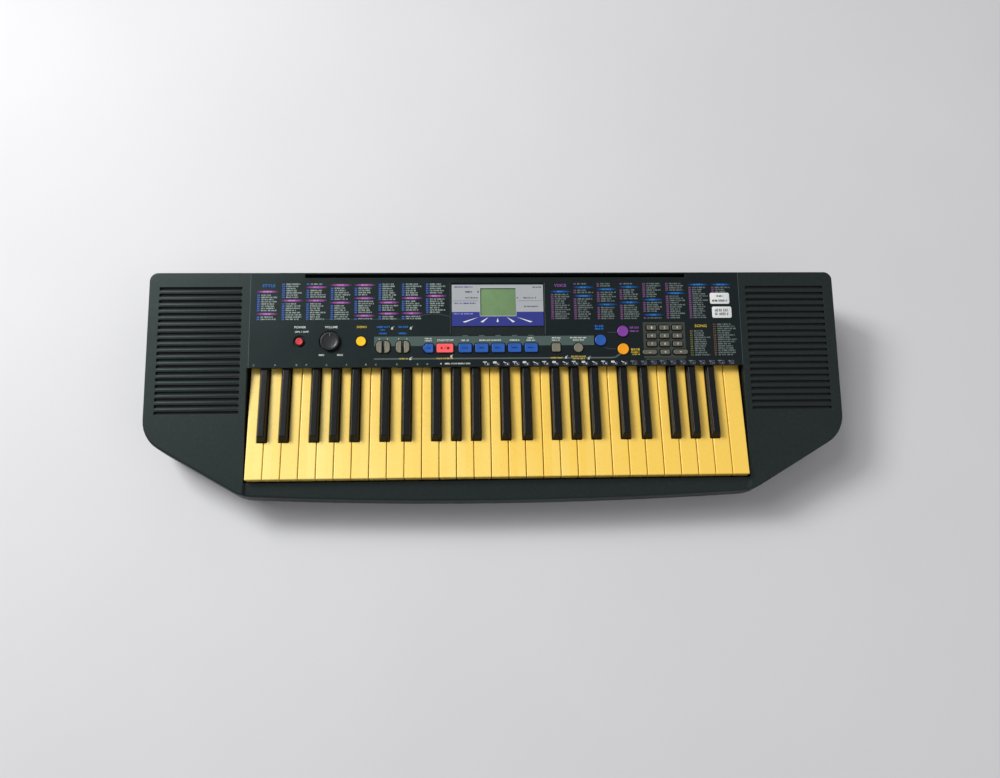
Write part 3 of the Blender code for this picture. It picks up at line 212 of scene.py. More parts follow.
class Shader:
    """A material's node tree while it is put together."""

    def __init__(self, name: str) -> None:
        """Start an empty material.

        Args:
            name: The material's name.
        """
        self.material = bpy.data.materials.new(name)
        self.material.use_nodes = True
        self.tree = self.material.node_tree
        self.tree.nodes.clear()

    def feed(self, socket: bpy.types.NodeSocket, value: Any) -> None:
        """Link a signal to a socket, or set the socket's own value.

        Args:
            socket: The socket.
            value: A signal, another socket, a colour or a number.
        """
        if isinstance(value, Signal):
            self.tree.links.new(value.socket, socket)
        elif isinstance(value, bpy.types.NodeSocket):
            self.tree.links.new(value, socket)
        elif isinstance(value, tuple) and socket.type == "RGBA":
            socket.default_value = (*value, 1.0)
        else:
            socket.default_value = value

    def node(
        self,
        kind: str,
        settings: Mapping[str, Any] | None = None,
        values: Mapping[Any, Any] | None = None,
    ) -> bpy.types.Node:
        """Add a node of any type.

        Args:
            kind: The node's type name.
            settings: The node's own settings, set first.
            values: Socket values or links, by socket name or number.

        Returns:
            The new node.
        """
        made = self.tree.nodes.new(kind)
        for key, value in (settings or {}).items():
            setattr(made, key, value)
        for key, value in (values or {}).items():
            self.feed(made.inputs[key], value)
        return made

    def place(self, scale: float = 1.0) -> Signal:
        """The point on the object, in its own axes.

        Args:
            scale: What its coordinates, in metres, are multiplied by.

        Returns:
            The scaled point.
        """
        point = self.node("ShaderNodeTexCoord").outputs["Object"]
        node = self.node("ShaderNodeVectorMath", {"operation": "SCALE"}, {0: point, "Scale": scale})
        return Signal(self, node.outputs[0])

    def axes(self, scale: float = 1000.0) -> tuple[Signal, Signal, Signal]:
        """The three coordinates of the point, in millimetres by default."""
        node = self.node("ShaderNodeSeparateXYZ", None, {0: self.place(scale)})
        return tuple(Signal(self, socket) for socket in node.outputs)

    def noise(
        self, scale: float, detail: float = 3.0, rough: float = 0.5, stretch: Triple = (1.0, 1.0, 1.0)
    ) -> Signal:
        """Cloudy noise on the object.

        Args:
            scale: Waves for each metre.
            detail: Octaves of detail.
            rough: Strength of the finer octaves.
            stretch: Scale along each axis.

        Returns:
            A value around one half.
        """
        vector = self.node("ShaderNodeMapping", None, {0: self.place(), "Scale": stretch}).outputs[0]
        values = {"Vector": vector, "Scale": scale, "Detail": detail, "Roughness": rough}
        return Signal(self, self.node("ShaderNodeTexNoise", None, values).outputs[0])

    def cells(self, scale: float) -> Signal:
        """Distance to the nearest of scattered points, as grain."""
        node = self.node("ShaderNodeTexVoronoi", None, {"Vector": self.place(), "Scale": scale})
        return Signal(self, node.outputs["Distance"])

    def mix(self, factor: Any, first: Any, second: Any) -> Signal:
        """Blend two colours."""
        node = self.node("ShaderNodeMix", {"data_type": "RGBA"}, {0: factor, 6: first, 7: second})
        return Signal(self, node.outputs[2])

    def bump(self, height: Signal, strength: float, distance: float, normal: Any = None) -> Signal:
        """Turn a height into a normal.

        Args:
            height: The height, in multiples of the distance.
            strength: Strength of the bump.
            distance: Height of one unit, in metres.
            normal: A normal to build on.

        Returns:
            The bumped normal.
        """
        values = {"Height": height, "Strength": strength, "Distance": distance}
        if normal is not None:
            values["Normal"] = normal
        return Signal(self, self.node("ShaderNodeBump", None, values).outputs[0])

    def soft_edge(self, radius: float) -> Signal:
        """A normal that rounds sharp edges by this radius."""
        return Signal(self, self.node("ShaderNodeBevel", {"samples": 6}, {"Radius": radius}).outputs[0])

    def edge_wear(self, soft: Signal) -> Signal:
        """How far the rounded normal leans from the flat one.

        Args:
            soft: The rounded normal.

        Returns:
            The wear, 0 on flats.
        """
        flat = self.node("ShaderNodeNewGeometry").outputs["Normal"]
        dot = self.node("ShaderNodeVectorMath", {"operation": "DOT_PRODUCT"}, {0: soft, 1: flat})
        return 1.0 - Signal(self, dot.outputs["Value"])

    def finish(self, values: Mapping[str, Any]) -> bpy.types.Material:
        """Close the material with one surface shader.

        Args:
            values: The shader's socket values and links.

        Returns:
            The material.
        """
        body = self.node("ShaderNodeBsdfPrincipled", None, values)
        self.node("ShaderNodeOutputMaterial", None, {"Surface": body.outputs[0]})
        return self.material


@dataclass(frozen=True)
class PanelPlane:
    """The sloping control panel's own axes: x right, v up the slope, w out of it.

    The printing is laid out on a level sheet, whose points are turned into x and v by a scale about
    a middle. Lengths are in millimetres.
    """

    lip_y: float = 23.5
    lip_z: float = 86.3
    tilt: float = math.radians(7.8)
    sheet_scale: float = 0.99642
    sheet_middle: Point = (-53.9, -222.3)
    sheet_foot: float = 152.2

    @property
    def place(self) -> Matrix:
        """The panel's axes in the row frame, in millimetres."""
        return Matrix.Translation((0, self.lip_y, self.lip_z)) @ Matrix.Rotation(self.tilt, 4, "X")

    def coordinates(self, shader: Shader) -> tuple[Signal, Signal, Signal]:
        """The panel's coordinates at a point of a shader.

        Args:
            shader: The node tree to add to.

        Returns:
            The point's x, v and w, in millimetres.
        """
        x, y, z = shader.axes()
        sine, cosine = math.sin(self.tilt), math.cos(self.tilt)
        v = (y - self.lip_y) * cosine + (z - self.lip_z) * sine
        w = (z - self.lip_z) * cosine - (y - self.lip_y) * sine
        return x, v, w

    def sheet(self, x: float, y: float) -> Point:
        """Turn a point of the printing layout into one of the panel.

        Args:
            x: Its place across the sheet.
            y: Its place up the sheet.

        Returns:
            The panel's x and v.
        """
        middle_x, middle_y = self.sheet_middle
        across = middle_x + (x - middle_x) * self.sheet_scale
        level = middle_y + (y - middle_y) * self.sheet_scale
        return across, (level - self.sheet_foot) / math.cos(self.tilt)

    def raised(self, rise: float) -> Matrix:
        """The panel's axes, moved out of the panel by a rise in millimetres."""
        return self.place @ Matrix.Translation((0, 0, rise))


PANEL = PanelPlane()


@dataclass(frozen=True)
class Finish(ABC):
    """A named finish, which builds its own material."""

    name: str

    @abstractmethod
    def build(self) -> bpy.types.Material:
        """Make the material."""


@dataclass(frozen=True)
class Plastic(Finish):
    """A moulded plastic, with its grain, cloudiness and edge wear.

    The grain is in waves for each metre, and its depth and the rounding of edges are in metres.
    """

    colour: Colour
    roughness: float = 0.45
    grain: float = 900.0
    depth: float = 0.00003
    edge: float = 0.0004
    cloud: float = 0.12
    metallic: float = 0.0
    specular: float = 0.3

    def tint(self, shader: Shader) -> Signal:
        """The colour over the surface, before wear."""
        lighter = shaded(self.colour, 1 + self.cloud, self.cloud * 0.01)
        return shader.mix(shader.noise(26.0, 4.0), shaded(self.colour, 1 - self.cloud), lighter)

    def build(self) -> bpy.types.Material:
        """Make the material.

        Returns:
            The material, with the colour clouded, the gloss uneven and the edges a little worn.
        """
        shader = Shader(self.name)
        soft = shader.soft_edge(self.edge)
        worn = shaded(self.colour, 1.5, 0.01)
        base = shader.mix(shader.edge_wear(soft) * 0.9, self.tint(shader), worn)
        grain = shader.noise(self.grain, 2.0)
        return shader.finish(
            {
                "Base Color": base,
                "Roughness": shader.noise(60.0) * 0.12 + (self.roughness - 0.06),
                "Specular IOR Level": self.specular,
                "Metallic": self.metallic,
                "Normal": shader.bump(grain, 0.5, self.depth, soft),
            }
        )


@dataclass(frozen=True)
class Plated(Plastic):
    """A plated metal, finer than plastic in its grain and edges."""

    roughness: float = 0.28
    depth: float = 0.00002
    edge: float = 0.0001
    cloud: float = 0.1
    metallic: float = 0.9


@dataclass(frozen=True)
class CaseFinish(Plastic):
    """The case's grained plastic with the smooth printed panel between its pods.

    Limits along the panel's x, v and w are in millimetres.
    """

    roughness: float = 0.42
    grain: float = 1100.0
    depth: float = 0.00006
    specular: float = 0.26
    glance: Colour = (0.76, 1.0, 0.97)
    panel: Colour = tone(8, 13, 16)
    # Painted shade: the colour of the panel's recesses below its face
    shade: Colour = tone(12, 14, 16)
    dust: Colour = tone(104, 110, 100)
    panel_x: Point = (-342.0, 343.2)
    panel_v: Point = (0.3, 134.2)
    face_w: float = -0.35
    recess_w: float = -3.2
    grounds: tuple[tuple[Colour, Point, Point], ...] = (
        (tone(72, 88, 84), (-171.1, 134.0), (29.4, 42.8)),
        (tone(58, 61, 55), (203.6, 263.0), (10.3, 61.7)),
        (tone(84, 92, 88), (-171.1, 160.0), (10.4, 12.4)),
    )

    def build(self) -> bpy.types.Material:
        """Make the case material.

        Returns:
            The material, with the panel, its grey band, its pad ground and its rule masked in.
        """
        shader = Shader(self.name)
        x, v, w = PANEL.coordinates(shader)
        top = w > self.face_w
        sheet = x.between(*self.panel_x) * v.between(*self.panel_v)
        panel = sheet * top
        clouds = shader.mix(shader.noise(18.0, 5.0), shaded(self.panel, 0.88), shaded(self.panel, 1.12))
        base = shader.mix(panel, self.tint(shader), clouds)
        # Painted shade on the walls and floors of the recesses below the panel's face
        base = shader.mix(sheet * w.between(self.recess_w, self.face_w), base, self.shade)
        for colour, limits_x, limits_v in self.grounds:
            base = shader.mix(x.between(*limits_x) * v.between(*limits_v) * top, base, colour)
        soft = shader.soft_edge(self.edge)
        dust = shader.noise(240.0, 6.0, 0.7).call("POWER", 6.0) * 1.1
        wear = shader.edge_wear(soft) * 0.45 + dust * (1.0 - panel * 0.6)
        grain = shader.cells(self.grain) * (1.0 - panel * 0.9)
        return shader.finish(
            {
                "Base Color": shader.mix(wear * 0.5, base, self.dust),
                "Roughness": shader.noise(40.0) * 0.14 + self.roughness - panel * 0.11,
                "Specular IOR Level": self.specular,
                "Specular Tint": self.glance,
                "Normal": shader.bump(grain, 0.6, self.depth, soft),
            }
        )


@dataclass(frozen=True)
class WhiteKeyFinish(Finish):
    """Aged, yellowed key plastic: uneven yellowing, a paler front, fine grime streaks and a darker foot.

    Places are in millimetres in the row frame. The yellowing grows with each millimetre to the rear
    of its start; the like deepening to the right is painted shade, the light falling off across the row.
    """

    pale: Colour = tone(255, 236, 146)
    deep: Colour = tone(250, 207, 88)
    grime: Colour = tone(146, 92, 30)
    row_left: float = -352.5
    pitch: float = 23.5
    # Start and rates of the deepening: to the right it is painted shade, to the rear yellowing
    shade_and_yellowing_start: Point = (-340.0, -128.0)
    shade_and_yellowing_rates: Point = (0.0012, 0.0014)
    foot_z: float = 70.5

    def build(self) -> bpy.types.Material:
        """Make the key material.

        Returns:
            The material, yellowed differently from key to key and along each key.
        """
        shader = Shader(self.name)
        x, y, z = shader.axes()
        number = ((x - self.row_left) / self.pitch).call("FLOOR")
        chance = shader.node("ShaderNodeTexWhiteNoise", {"noise_dimensions": "1D"}, {"W": number})
        yellowing_and_shade = shader.noise(14.0, 4.0) * 0.5 + Signal(shader, chance.outputs[0]) * 0.22
        # Deeper to the rear as yellowing, and deeper to the right as painted shade of the light falling off
        yellowing_and_shade = yellowing_and_shade + (y - self.shade_and_yellowing_start[1]) * self.shade_and_yellowing_rates[1] + (x - self.shade_and_yellowing_start[0]) * self.shade_and_yellowing_rates[0]
        base = shader.mix(yellowing_and_shade.call("MINIMUM", 1.0), self.pale, self.deep)
        specks = shader.noise(700.0, 2.0, 0.6, (1.0, 0.25, 1.0)).call("POWER", 10.0) * 2.6
        base = shader.mix(specks.call("MINIMUM", 0.3), base, self.grime)
        # Darker below a height, on the lower front of each key
        base = shader.mix((z < self.foot_z) * 0.2, base, self.grime)
        return shader.finish(
            {
                "Base Color": base,
                "Roughness": shader.noise(90.0, 3.0) * 0.12 + 0.22,
                "Coat Weight": 0.15,
                "Normal": shader.bump(shader.noise(260.0, 2.0), 0.08, 0.00002),
            }
        )


@dataclass(frozen=True)
class BlackKeyFinish(Finish):
    """Glossy black key plastic, rubbed along the length of its top."""

    edge: float = 0.0006
    dark: Colour = tone(13, 14, 15)
    rubbed: Colour = tone(22, 23, 24)
    worn: Colour = tone(58, 58, 56)

    def build(self) -> bpy.types.Material:
        """Make the key material.

        Returns:
            The material, with fine rubbing marks along the key and paler worn edges.
        """
        shader = Shader(self.name)
        soft = shader.soft_edge(self.edge)
        rub = shader.noise(1500.0, 3.0, 0.6, (1.0, 0.08, 1.0))
        base = shader.mix(rub, self.dark, self.rubbed)
        return shader.finish(
            {
                "Base Color": shader.mix(shader.edge_wear(soft) * 0.6, base, self.worn),
                "Roughness": rub * 0.16 + 0.22,
                "Specular IOR Level": 0.16,
                "Normal": shader.bump(rub, 0.08, 0.00001, soft),
            }
        )


@dataclass(frozen=True)
class InkFinish(Finish):
    """Screen-printed ink: slightly uneven, a little glossier than the panel."""

    colour: Colour

    def build(self) -> bpy.types.Material:
        """Make the ink material.

        Returns:
            The material, with tiny pinholes where the panel shows through.
        """
        shader = Shader(self.name)
        worn = shader.noise(1500.0, 3.0).call("POWER", 5.0) * 1.4
        return shader.finish(
            {
                "Base Color": shader.mix(worn.call("MINIMUM", 0.6), self.colour, shaded(self.colour, 0.45)),
                "Roughness": shader.noise(300.0) * 0.2 + 0.3,
                "Specular IOR Level": 0.16,
            }
        )


@dataclass(frozen=True)
class LiquidCrystal(Finish):
    """The green display: unlit digit segments over a fine cell pattern and faint clouds.

    Lengths are in millimetres on the panel.
    """

    pale: Colour = tone(112, 144, 95)
    deep: Colour = tone(96, 128, 82)
    segment: Colour = tone(54, 84, 52)
    corner: Point = (-24.0, 72.0)
    digit: Point = (9.4, 13.0)
    rows: Point = (74.0, 98.0)
    cell_waves: float = 2.6

    def build(self) -> bpy.types.Material:
        """Make the display material.

        Returns:
            The material, glossy, with faint darker digit segments.
        """
        shader = Shader(self.name)
        x, v, _ = PANEL.coordinates(shader)
        column = ((x - self.corner[0]) / self.digit[0]).call("FRACT")
        row = ((v - self.corner[1]) / self.digit[1]).call("FRACT")
        cell = column.between(0.2, 0.8) * row.between(0.15, 0.85)
        hollow = column.between(0.3, 0.7) * row.between(0.24, 0.46).union(row.between(0.54, 0.76))
        segments = cell * (1.0 - hollow) * v.between(*self.rows)
        cells = ((x * self.cell_waves).call("SINE") * (v * self.cell_waves).call("SINE")) * 0.02
        base = shader.mix(shader.noise(60.0, 3.0), self.deep, self.pale)
        return shader.finish(
            {
                "Base Color": shader.mix(segments * 0.06 + cells, base, self.segment),
                "Roughness": shader.noise(120.0) * 0.1 + 0.08,
                "Coat Weight": 0.6,
            }
        )


@dataclass(frozen=True)
class CircuitFinish(Finish):
    """A green circuit board with traces and solder pads, its pitches in millimetres."""

    green: Colour = tone(18, 62, 36)
    trace: Colour = tone(34, 96, 58)
    solder: Colour = tone(176, 170, 150)
    lane_pitch: float = 2.6
    block_pitch: float = 37.0
    pad_pitch: float = 5.1

    def build(self) -> bpy.types.Material:
        """Make the board material.

        Returns:
            The material, with straight copper runs under a green coat.
        """
        shader = Shader(self.name)
        x, y, _ = shader.axes()
        lane = (y / self.lane_pitch).call("FRACT").between(0.35, 0.62)
        blocks = (x / self.block_pitch).call("FRACT") + shader.noise(30.0) * 0.6
        across, along = ((axis / self.pad_pitch).call("FRACT") - 0.5 for axis in (x, y))
        pad = (across.call("ABSOLUTE") < 0.14) * (along.call("ABSOLUTE") < 0.14)
        base = shader.mix(lane * blocks.call("FRACT").between(0.2, 0.8), self.green, self.trace)
        return shader.finish(
            {
                "Base Color": shader.mix(pad, base, self.solder),
                "Roughness": 0.42 - pad * 0.15,
                "Metallic": pad * 0.7,
            }
        )


@dataclass(frozen=True)
class ClothFinish(Finish):
    """The black woven cloth behind the speaker slots."""

    dark: Colour = tone(10, 10, 11)
    pale: Colour = tone(26, 27, 28)
    thread_waves: float = 6.3

    def build(self) -> bpy.types.Material:
        """Make the cloth material.

        Returns:
            The material, with a plain weave of crossing threads.
        """
        shader = Shader(self.name)
        x, y, _ = shader.axes()
        warp, weft = ((axis * self.thread_waves).call("SINE") for axis in (x, y))
        weave = warp * weft * 0.5 + 0.5
        return shader.finish(
            {
                "Base Color": shader.mix(weave, self.dark, self.pale),
                "Roughness": 0.9,
                "Normal": shader.bump(weave, 0.7, 0.0002),
            }
        )


@dataclass(frozen=True)
class ConeFinish(Finish):
    """Pressed paper and, below a height on the panel's w, dark steel of a loudspeaker."""

    dark: Colour = tone(18, 18, 20)
    pale: Colour = tone(40, 38, 36)
    steel: Colour = tone(120, 122, 124)
    magnet_w: float = -24.0

    def build(self) -> bpy.types.Material:
        """Make the speaker material.

        Returns:
            The material, with fibres on the cone and a plated magnet below.
        """
        shader = Shader(self.name)
        _, _, w = PANEL.coordinates(shader)
        metal = w < self.magnet_w
        fibre = shader.noise(600.0, 5.0, 0.7)
        return shader.finish(
            {
                "Base Color": shader.mix(metal, shader.mix(fibre, self.dark, self.pale), self.steel),
                "Roughness": 0.85 - metal * 0.5,
                "Metallic": metal * 0.9,
                "Normal": shader.bump(fibre, 0.4, 0.0001),
            }
        )


@dataclass(frozen=True)
class DisplayPlate(Finish):
    """The display plate's sheet, pale grey above a height on the panel's v and blue below."""

    grey: Colour = tone(166, 170, 173)
    blue_dark: Colour = tone(30, 40, 120)
    blue: Colour = tone(38, 48, 132)
    blue_top: float = 77.5

    def build(self) -> bpy.types.Material:
        """Make the plate material.

        Returns:
            The material, with its two printed grounds and a satin face.
        """
        shader = Shader(self.name)
        _, v, _ = PANEL.coordinates(shader)
        grey = shader.mix(shader.noise(40.0, 4.0), shaded(self.grey, 0.94), self.grey)
        blue = shader.mix(shader.noise(40.0, 4.0), self.blue_dark, self.blue)
        base = shader.mix(v < self.blue_top, grey, blue)
        return shader.finish({"Base Color": base, "Roughness": shader.noise(150.0) * 0.15 + 0.25})


@dataclass(frozen=True)
class ButtonFinish(Finish):
    """Smooth moulded button plastic, paler in a band round its rim and darker at its foot as painted shade,
    its heights in millimetres.
    """

    colour: Colour
    roughness: float = 0.36
    foot_w: float = 0.6
    rim_w: Point = (1.7, 2.45)

    def build(self) -> bpy.types.Material:
        """Make the button material.

        Returns:
            The material, clouded, paler in a band round its rim, and darker at its foot as painted shade.
        """
        shader = Shader(self.name)
        _, _, w = PANEL.coordinates(shader)
        base = shader.mix(shader.noise(120.0, 4.0), shaded(self.colour, 0.88), self.colour)
        # Painted shade: the button's foot, low in its hole, is darkened
        base = shader.mix(w < self.foot_w, base, shaded(self.colour, 0.35))
        base = shader.mix(w.between(*self.rim_w) * 0.6, base, shaded(self.colour, 1.15, 0.03))
        return shader.finish(
            {
                "Base Color": base,
                "Roughness": shader.noise(200.0) * 0.2 + (self.roughness - 0.1),
                "Normal": shader.bump(shader.noise(1400.0, 2.0), 0.3, 0.00002),
            }
        )


@dataclass(frozen=True)
class GroundFinish(Finish):
    """The plain pale floor, matt with the faintest unevenness."""

    dark: Colour = tone(206, 206, 208)
    pale: Colour = tone(214, 214, 215)

    def build(self) -> bpy.types.Material:
        """Make the floor material.

        Returns:
            The material, with broad and very faint clouds.
        """
        shader = Shader(self.name)
        base = shader.mix(shader.noise(3.0, 3.0), self.dark, self.pale)
        return shader.finish({"Base Color": base, "Roughness": 0.75})


def rounded(corners: Sequence[Triple], step: float = math.radians(15.0)) -> Outline:
    """Turn corners into an outline with arcs.

    Args:
        corners: Corner points, each with its radius.
        step: Angle of one arc step.

    Returns:
        The outline's points.
    """
    points: Outline = []
    for index, (x, y, radius) in enumerate(corners):
        here = Vector((x, y))
        if radius <= 0:
            points.append((x, y))
            continue
        before = (Vector(corners[index - 1][:2]) - here).normalized()
        after = (Vector(corners[(index + 1) % len(corners)][:2]) - here).normalized()
        half = before.angle(after) / 2
        centre = here + (before + after).normalized() * radius / math.sin(half)
        start = here + before * radius / math.tan(half) - centre
        turn = math.pi - 2 * half
        if before.x * after.y - before.y * after.x > 0:
            turn = -turn
        steps = max(2, round(abs(turn) / step))
        first = math.atan2(start.y, start.x)
        for number in range(steps + 1):
            angle = first + turn * number / steps
            points.append((centre.x + radius * math.cos(angle), centre.y + radius * math.sin(angle)))
    return points


def disc(x: float, y: float, diameter: float, grow: float = 0.0, sides: int = 48) -> Outline:
    """Outline of a circle.

    Args:
        x: Its centre across.
        y: Its centre along.
        diameter: Its diameter.
        grow: How much larger it is made all round.
        sides: Count of its points.

    Returns:
        The outline's points.
    """
    radius = diameter / 2 + grow
    turns = (math.tau * number / sides for number in range(sides))
    return [(x + radius * math.cos(turn), y + radius * math.sin(turn)) for turn in turns]


def block(x: float, y: float, width: float, height: float, corner: float, grow: float = 0.0) -> Outline:
    """Outline of a rectangle with rounded corners.

    Args:
        x: Its centre across.
        y: Its centre along.
        width: Its width.
        height: Its height.
        corner: Radius of its corners.
        grow: How much larger it is made all round.

    Returns:
        The outline's points.
    """
    half_x, half_y, radius = width / 2 + grow, height / 2 + grow, corner + grow
    sides = ((-1, -1), (1, -1), (1, 1), (-1, 1))
    return rounded([(x + across * half_x, y + along * half_y, radius) for across, along in sides])


def half_oval(x: float, y: float, side: int, grow: float = 0.0) -> Outline:
    """Outline of a half-oval button.

    Args:
        x: Its centre across.
        y: Its centre along.
        side: Where it is round: -1 on the left, 1 on the right.
        grow: How much larger it is made all round.

    Returns:
        The outline's points.
    """
    width, height, corner = 7.3, 16.6, 5.6
    half_x, half_y, radius = width / 2 + grow, height / 2 + grow, corner + grow
    inner, outer = x - side * half_x, x + side * half_x
    low, high = y - half_y, y + half_y
    corners = [(inner, low, 0), (outer, low, radius), (outer, high, radius), (inner, high, 0)]
    return rounded(corners[::side])


def pointed(x: float, y: float, width: float, height: float, grow: float = 0.0) -> Outline:
    """Outline of a button whose left edge runs out to a blunt point.

    Args:
        x: Its centre across.
        y: Its centre along.
        width: Its width, with the point.
        height: Its height.
        grow: How much larger it is made all round.

    Returns:
        The outline's points.
    """
    point_share = 0.4
    half_x, half_y, radius = width / 2 + grow, height / 2 + grow, BUTTON_CORNER + grow
    shoulder = x - half_x + height * point_share
    return rounded(
        [
            (x - half_x, y, radius),
            (shoulder, y - half_y, radius),
            (x + half_x, y - half_y, radius),
            (x + half_x, y + half_y, radius),
            (shoulder, y + half_y, radius),
        ]
    )


class Form:
    """A mesh under construction, in millimetres in axes of its own."""

    def __init__(self, place: Matrix | None = None) -> None:
        """Start an empty mesh whose axes lie at a place in the row frame."""
        self.mesh = bmesh.new()
        self.place = place or Matrix.Identity(4)

    def loft(self, rings: Sequence[Sequence[Vector]], ends: Ends = CLOSED) -> None:
        """Join rings of equal count into a skin.

        Args:
            rings: The rings, lowest first, each running the same way round.
            ends: Whether the first and the last ring are closed by a face.
        """
        made = [[self.mesh.verts.new(point) for point in ring] for ring in rings]
        for lower, upper in zip(made, made[1:]):
            for index in range(len(lower)):
                after = (index + 1) % len(lower)
                self.mesh.faces.new((lower[index], lower[after], upper[after], upper[index]))
        if ends[0]:
            self.mesh.faces.new(list(reversed(made[0])))
        if ends[1]:
            self.mesh.faces.new(made[-1])

    def stack(self, outline: Grown, levels: Sequence[Point], ends: Ends = CLOSED) -> None:
        """Loft an outline that changes size from level to level.

        Args:
            outline: A function that gives the outline for a growth.
            levels: Pairs of growth and height.
            ends: Whether the ends are closed.
        """
        self.loft([[Vector((x, y, height)) for x, y in outline(grow)] for grow, height in levels], ends)

    def turn(self, centre: Point, profile: Sequence[Point], sides: int = 48, ends: Ends = CLOSED) -> None:
        """Turn a profile about an upright axis.

        Args:
            centre: The axis.
            profile: Pairs of radius and height.
            sides: Count of flat sides.
            ends: Whether the ends are closed.
        """
        self.stack(partial(disc, *centre, 0.0, sides=sides), profile, ends)

    def flat(self, points: Iterable[Point], height: float) -> None:
        """Add one flat face."""
        self.mesh.faces.new([self.mesh.verts.new((x, y, height)) for x, y in points])

    def raw(self, points: Sequence[Vector], faces: Sequence[Sequence[int]]) -> None:
        """Add ready faces over ready points.

        Args:
            points: The points.
            faces: The faces, each the numbers of its points.
        """
        made = [self.mesh.verts.new(point) for point in points]
        for face in faces:
            self.mesh.faces.new([made[index] for index in face])

    def piece(
        self, name: str, body: str, material: bpy.types.Material, slot: str, smooth: float = 40.0
    ) -> bpy.types.Object:
        """Close the mesh into a piece that rides on a body.

        Args:
            name: The piece's name.
            body: The CAD body it moves with.
            material: Its finish.
            slot: The record's material slot; not used.
            smooth: Edges flatter than this angle are shaded smooth, in degrees.

        Returns:
            The new object.
        """
        self.mesh.transform(Matrix.Scale(MM, 4) @ self.place)
        data = bpy.data.meshes.new(name)
        self.mesh.to_mesh(data)
        self.mesh.free()
        data.materials.append(material)
        item = bpy.data.objects.new(name, data)
        bpy.context.scene.collection.objects.link(item)
        if smooth:
            data.shade_smooth()
            data.set_sharp_from_angle(angle=math.radians(smooth))
        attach(item, body)
        LOG.info("piece %s rides on %s", name, body)
        return item


@dataclass(frozen=True)
class Letter:
    """The flat mesh of a text: its points and its faces."""

    points: tuple[Vector, ...]
    faces: tuple[tuple[int, ...], ...]


class Lettering:
    """Turns short generic texts into flat meshes, each made once.

    At this size of the built-in letters a capital is about one unit high.
    """

    size = 1.4
    boldness = 0.03
    smoothness = 2

    def __init__(self) -> None:
        """Start with no text made."""
        self.made: dict[str, Letter] = {}

    def shape(self, text: str) -> Letter:
        """The mesh of a text one unit high, its left end at the origin.

        Args:
            text: The text.

        Returns:
            Its points and faces.
        """
        if text not in self.made:
            curve = bpy.data.curves.new("lettering", "FONT")
            curve.body, curve.size = text, self.size
            curve.resolution_u, curve.offset = self.smoothness, self.boldness
            item = bpy.data.objects.new("lettering", curve)
            data = bpy.data.meshes.new_from_object(item)
            points = tuple(vertex.co.copy() for vertex in data.vertices)
            self.made[text] = Letter(points, tuple(tuple(face.vertices) for face in data.polygons))
            bpy.data.objects.remove(item)
            bpy.data.curves.remove(curve)
            bpy.data.meshes.remove(data)
        return self.made[text]


LETTERS = Lettering()


class Print:
    """One ink's printing, gathered into one flat piece.

    Stand-in words are upright bars, grouped and varied like letters. Lengths are in millimetres.
    """

    letter_count = (3, 8)
    letter_widths = (0.55, 0.85, 1.05)
    letter_heights = (1.0, 1.0, 0.85)
    letter_pitch = 1.25
    letter_room = 0.9
    word_room = 1.0
    word_gap = 0.9

    def __init__(self, ink: Ink, lift: float = INK_LIFT, place: Matrix | None = None) -> None:
        """Start an empty layer.

        Args:
            ink: Its ink.
            lift: Its height above the surface.
            place: The axes of the surface, those of the panel by default.
        """
        self.ink = ink
        self.lift = lift
        self.form = Form(place or PANEL.place)

    def bar(self, x: float, v: float, width: float, height: float) -> None:
        """Print a bar from its lower left corner."""
        self.area([(x, v), (x + width, v), (x + width, v + height), (x, v + height)])

    def area(self, outline: Iterable[Point]) -> None:
        """Print a filled outline."""
        self.form.flat(outline, self.lift)

    def stroke(self, first: Point, last: Point, width: float) -> None:
        """Print a straight line.

        Args:
            first: Its start.
            last: Its end.
            width: Its width.
        """
        start, end = Vector(first), Vector(last)
        side = (end - start).orthogonal().normalized() * width / 2
        self.area([tuple(start - side), tuple(end - side), tuple(end + side), tuple(start + side)])

    def path(self, points: Sequence[Point], width: float) -> None:
        """Print a line through several points."""
        for first, last in zip(points, points[1:]):
            self.stroke(first, last, width)

    def text(self, words: str, x: float, v: float, height: float, width: float) -> None:
        """Print a generic text.

        Args:
            words: The text.
            x: Its middle.
            v: Its foot.
            height: Height of its capitals.
            width: Width to stretch it to.
        """
        letter = LETTERS.shape(words)
        low = min(point.x for point in letter.points)
        wide = width / (max(point.x for point in letter.points) - low)
        start = x - width / 2
        points = [Vector((start + (p.x - low) * wide, v + p.y * height, self.lift)) for p in letter.points]
        self.form.raw(points, letter.faces)

    def words(self, rng: random.Random, x: float, v: float, width: float, height: float = 2.0) -> None:
        """Print a line of stand-in words.

        Args:
            rng: The seeded source of word lengths.
            x: Left end.
            v: Foot of the line.
            width: Width that the line may fill.
            height: Height of a letter.
        """
        place, end = x, x + width
        while place < end - self.word_room:
            for _ in range(rng.randint(*self.letter_count)):
                if place > end - self.letter_room:
                    break
                self.bar(place, v, rng.choice(self.letter_widths), height * rng.choice(self.letter_heights))
                place += self.letter_pitch
            place += self.word_gap

    def run(self, rng: random.Random, run: Quad) -> None:
        """Print stand-in words over a run of the printing layout.

        Args:
            rng: The seeded source of word lengths.
            run: The run's left end, right end, foot and height.
        """
        left, right, y, height = run
        x, v = PANEL.sheet(left, y)
        self.words(rng, x, v, right - left, height)

    def piece(self, name: str, body: str = "case", slot: str = "case") -> bpy.types.Object:
        """Close the layer into a piece with its ink."""
        finish = InkFinish("ink_" + name, self.ink.value)
        return self.form.piece(name, body, finish.build(), slot, 0.0)


Block = tuple[float, int]
Column = tuple[float, tuple[Block, ...]]


@dataclass(frozen=True)
class ListFamily:
    """One family of lists: its inks, and its columns, each a left edge and its blocks.

    A block is the height of its first row and its count of rows; one of no rows is a heading.
    """

    name: str
    strip: Ink
    digits: Ink
    head: Ink
    glow: Ink
    mark: Ink
    columns: tuple[Column, ...]


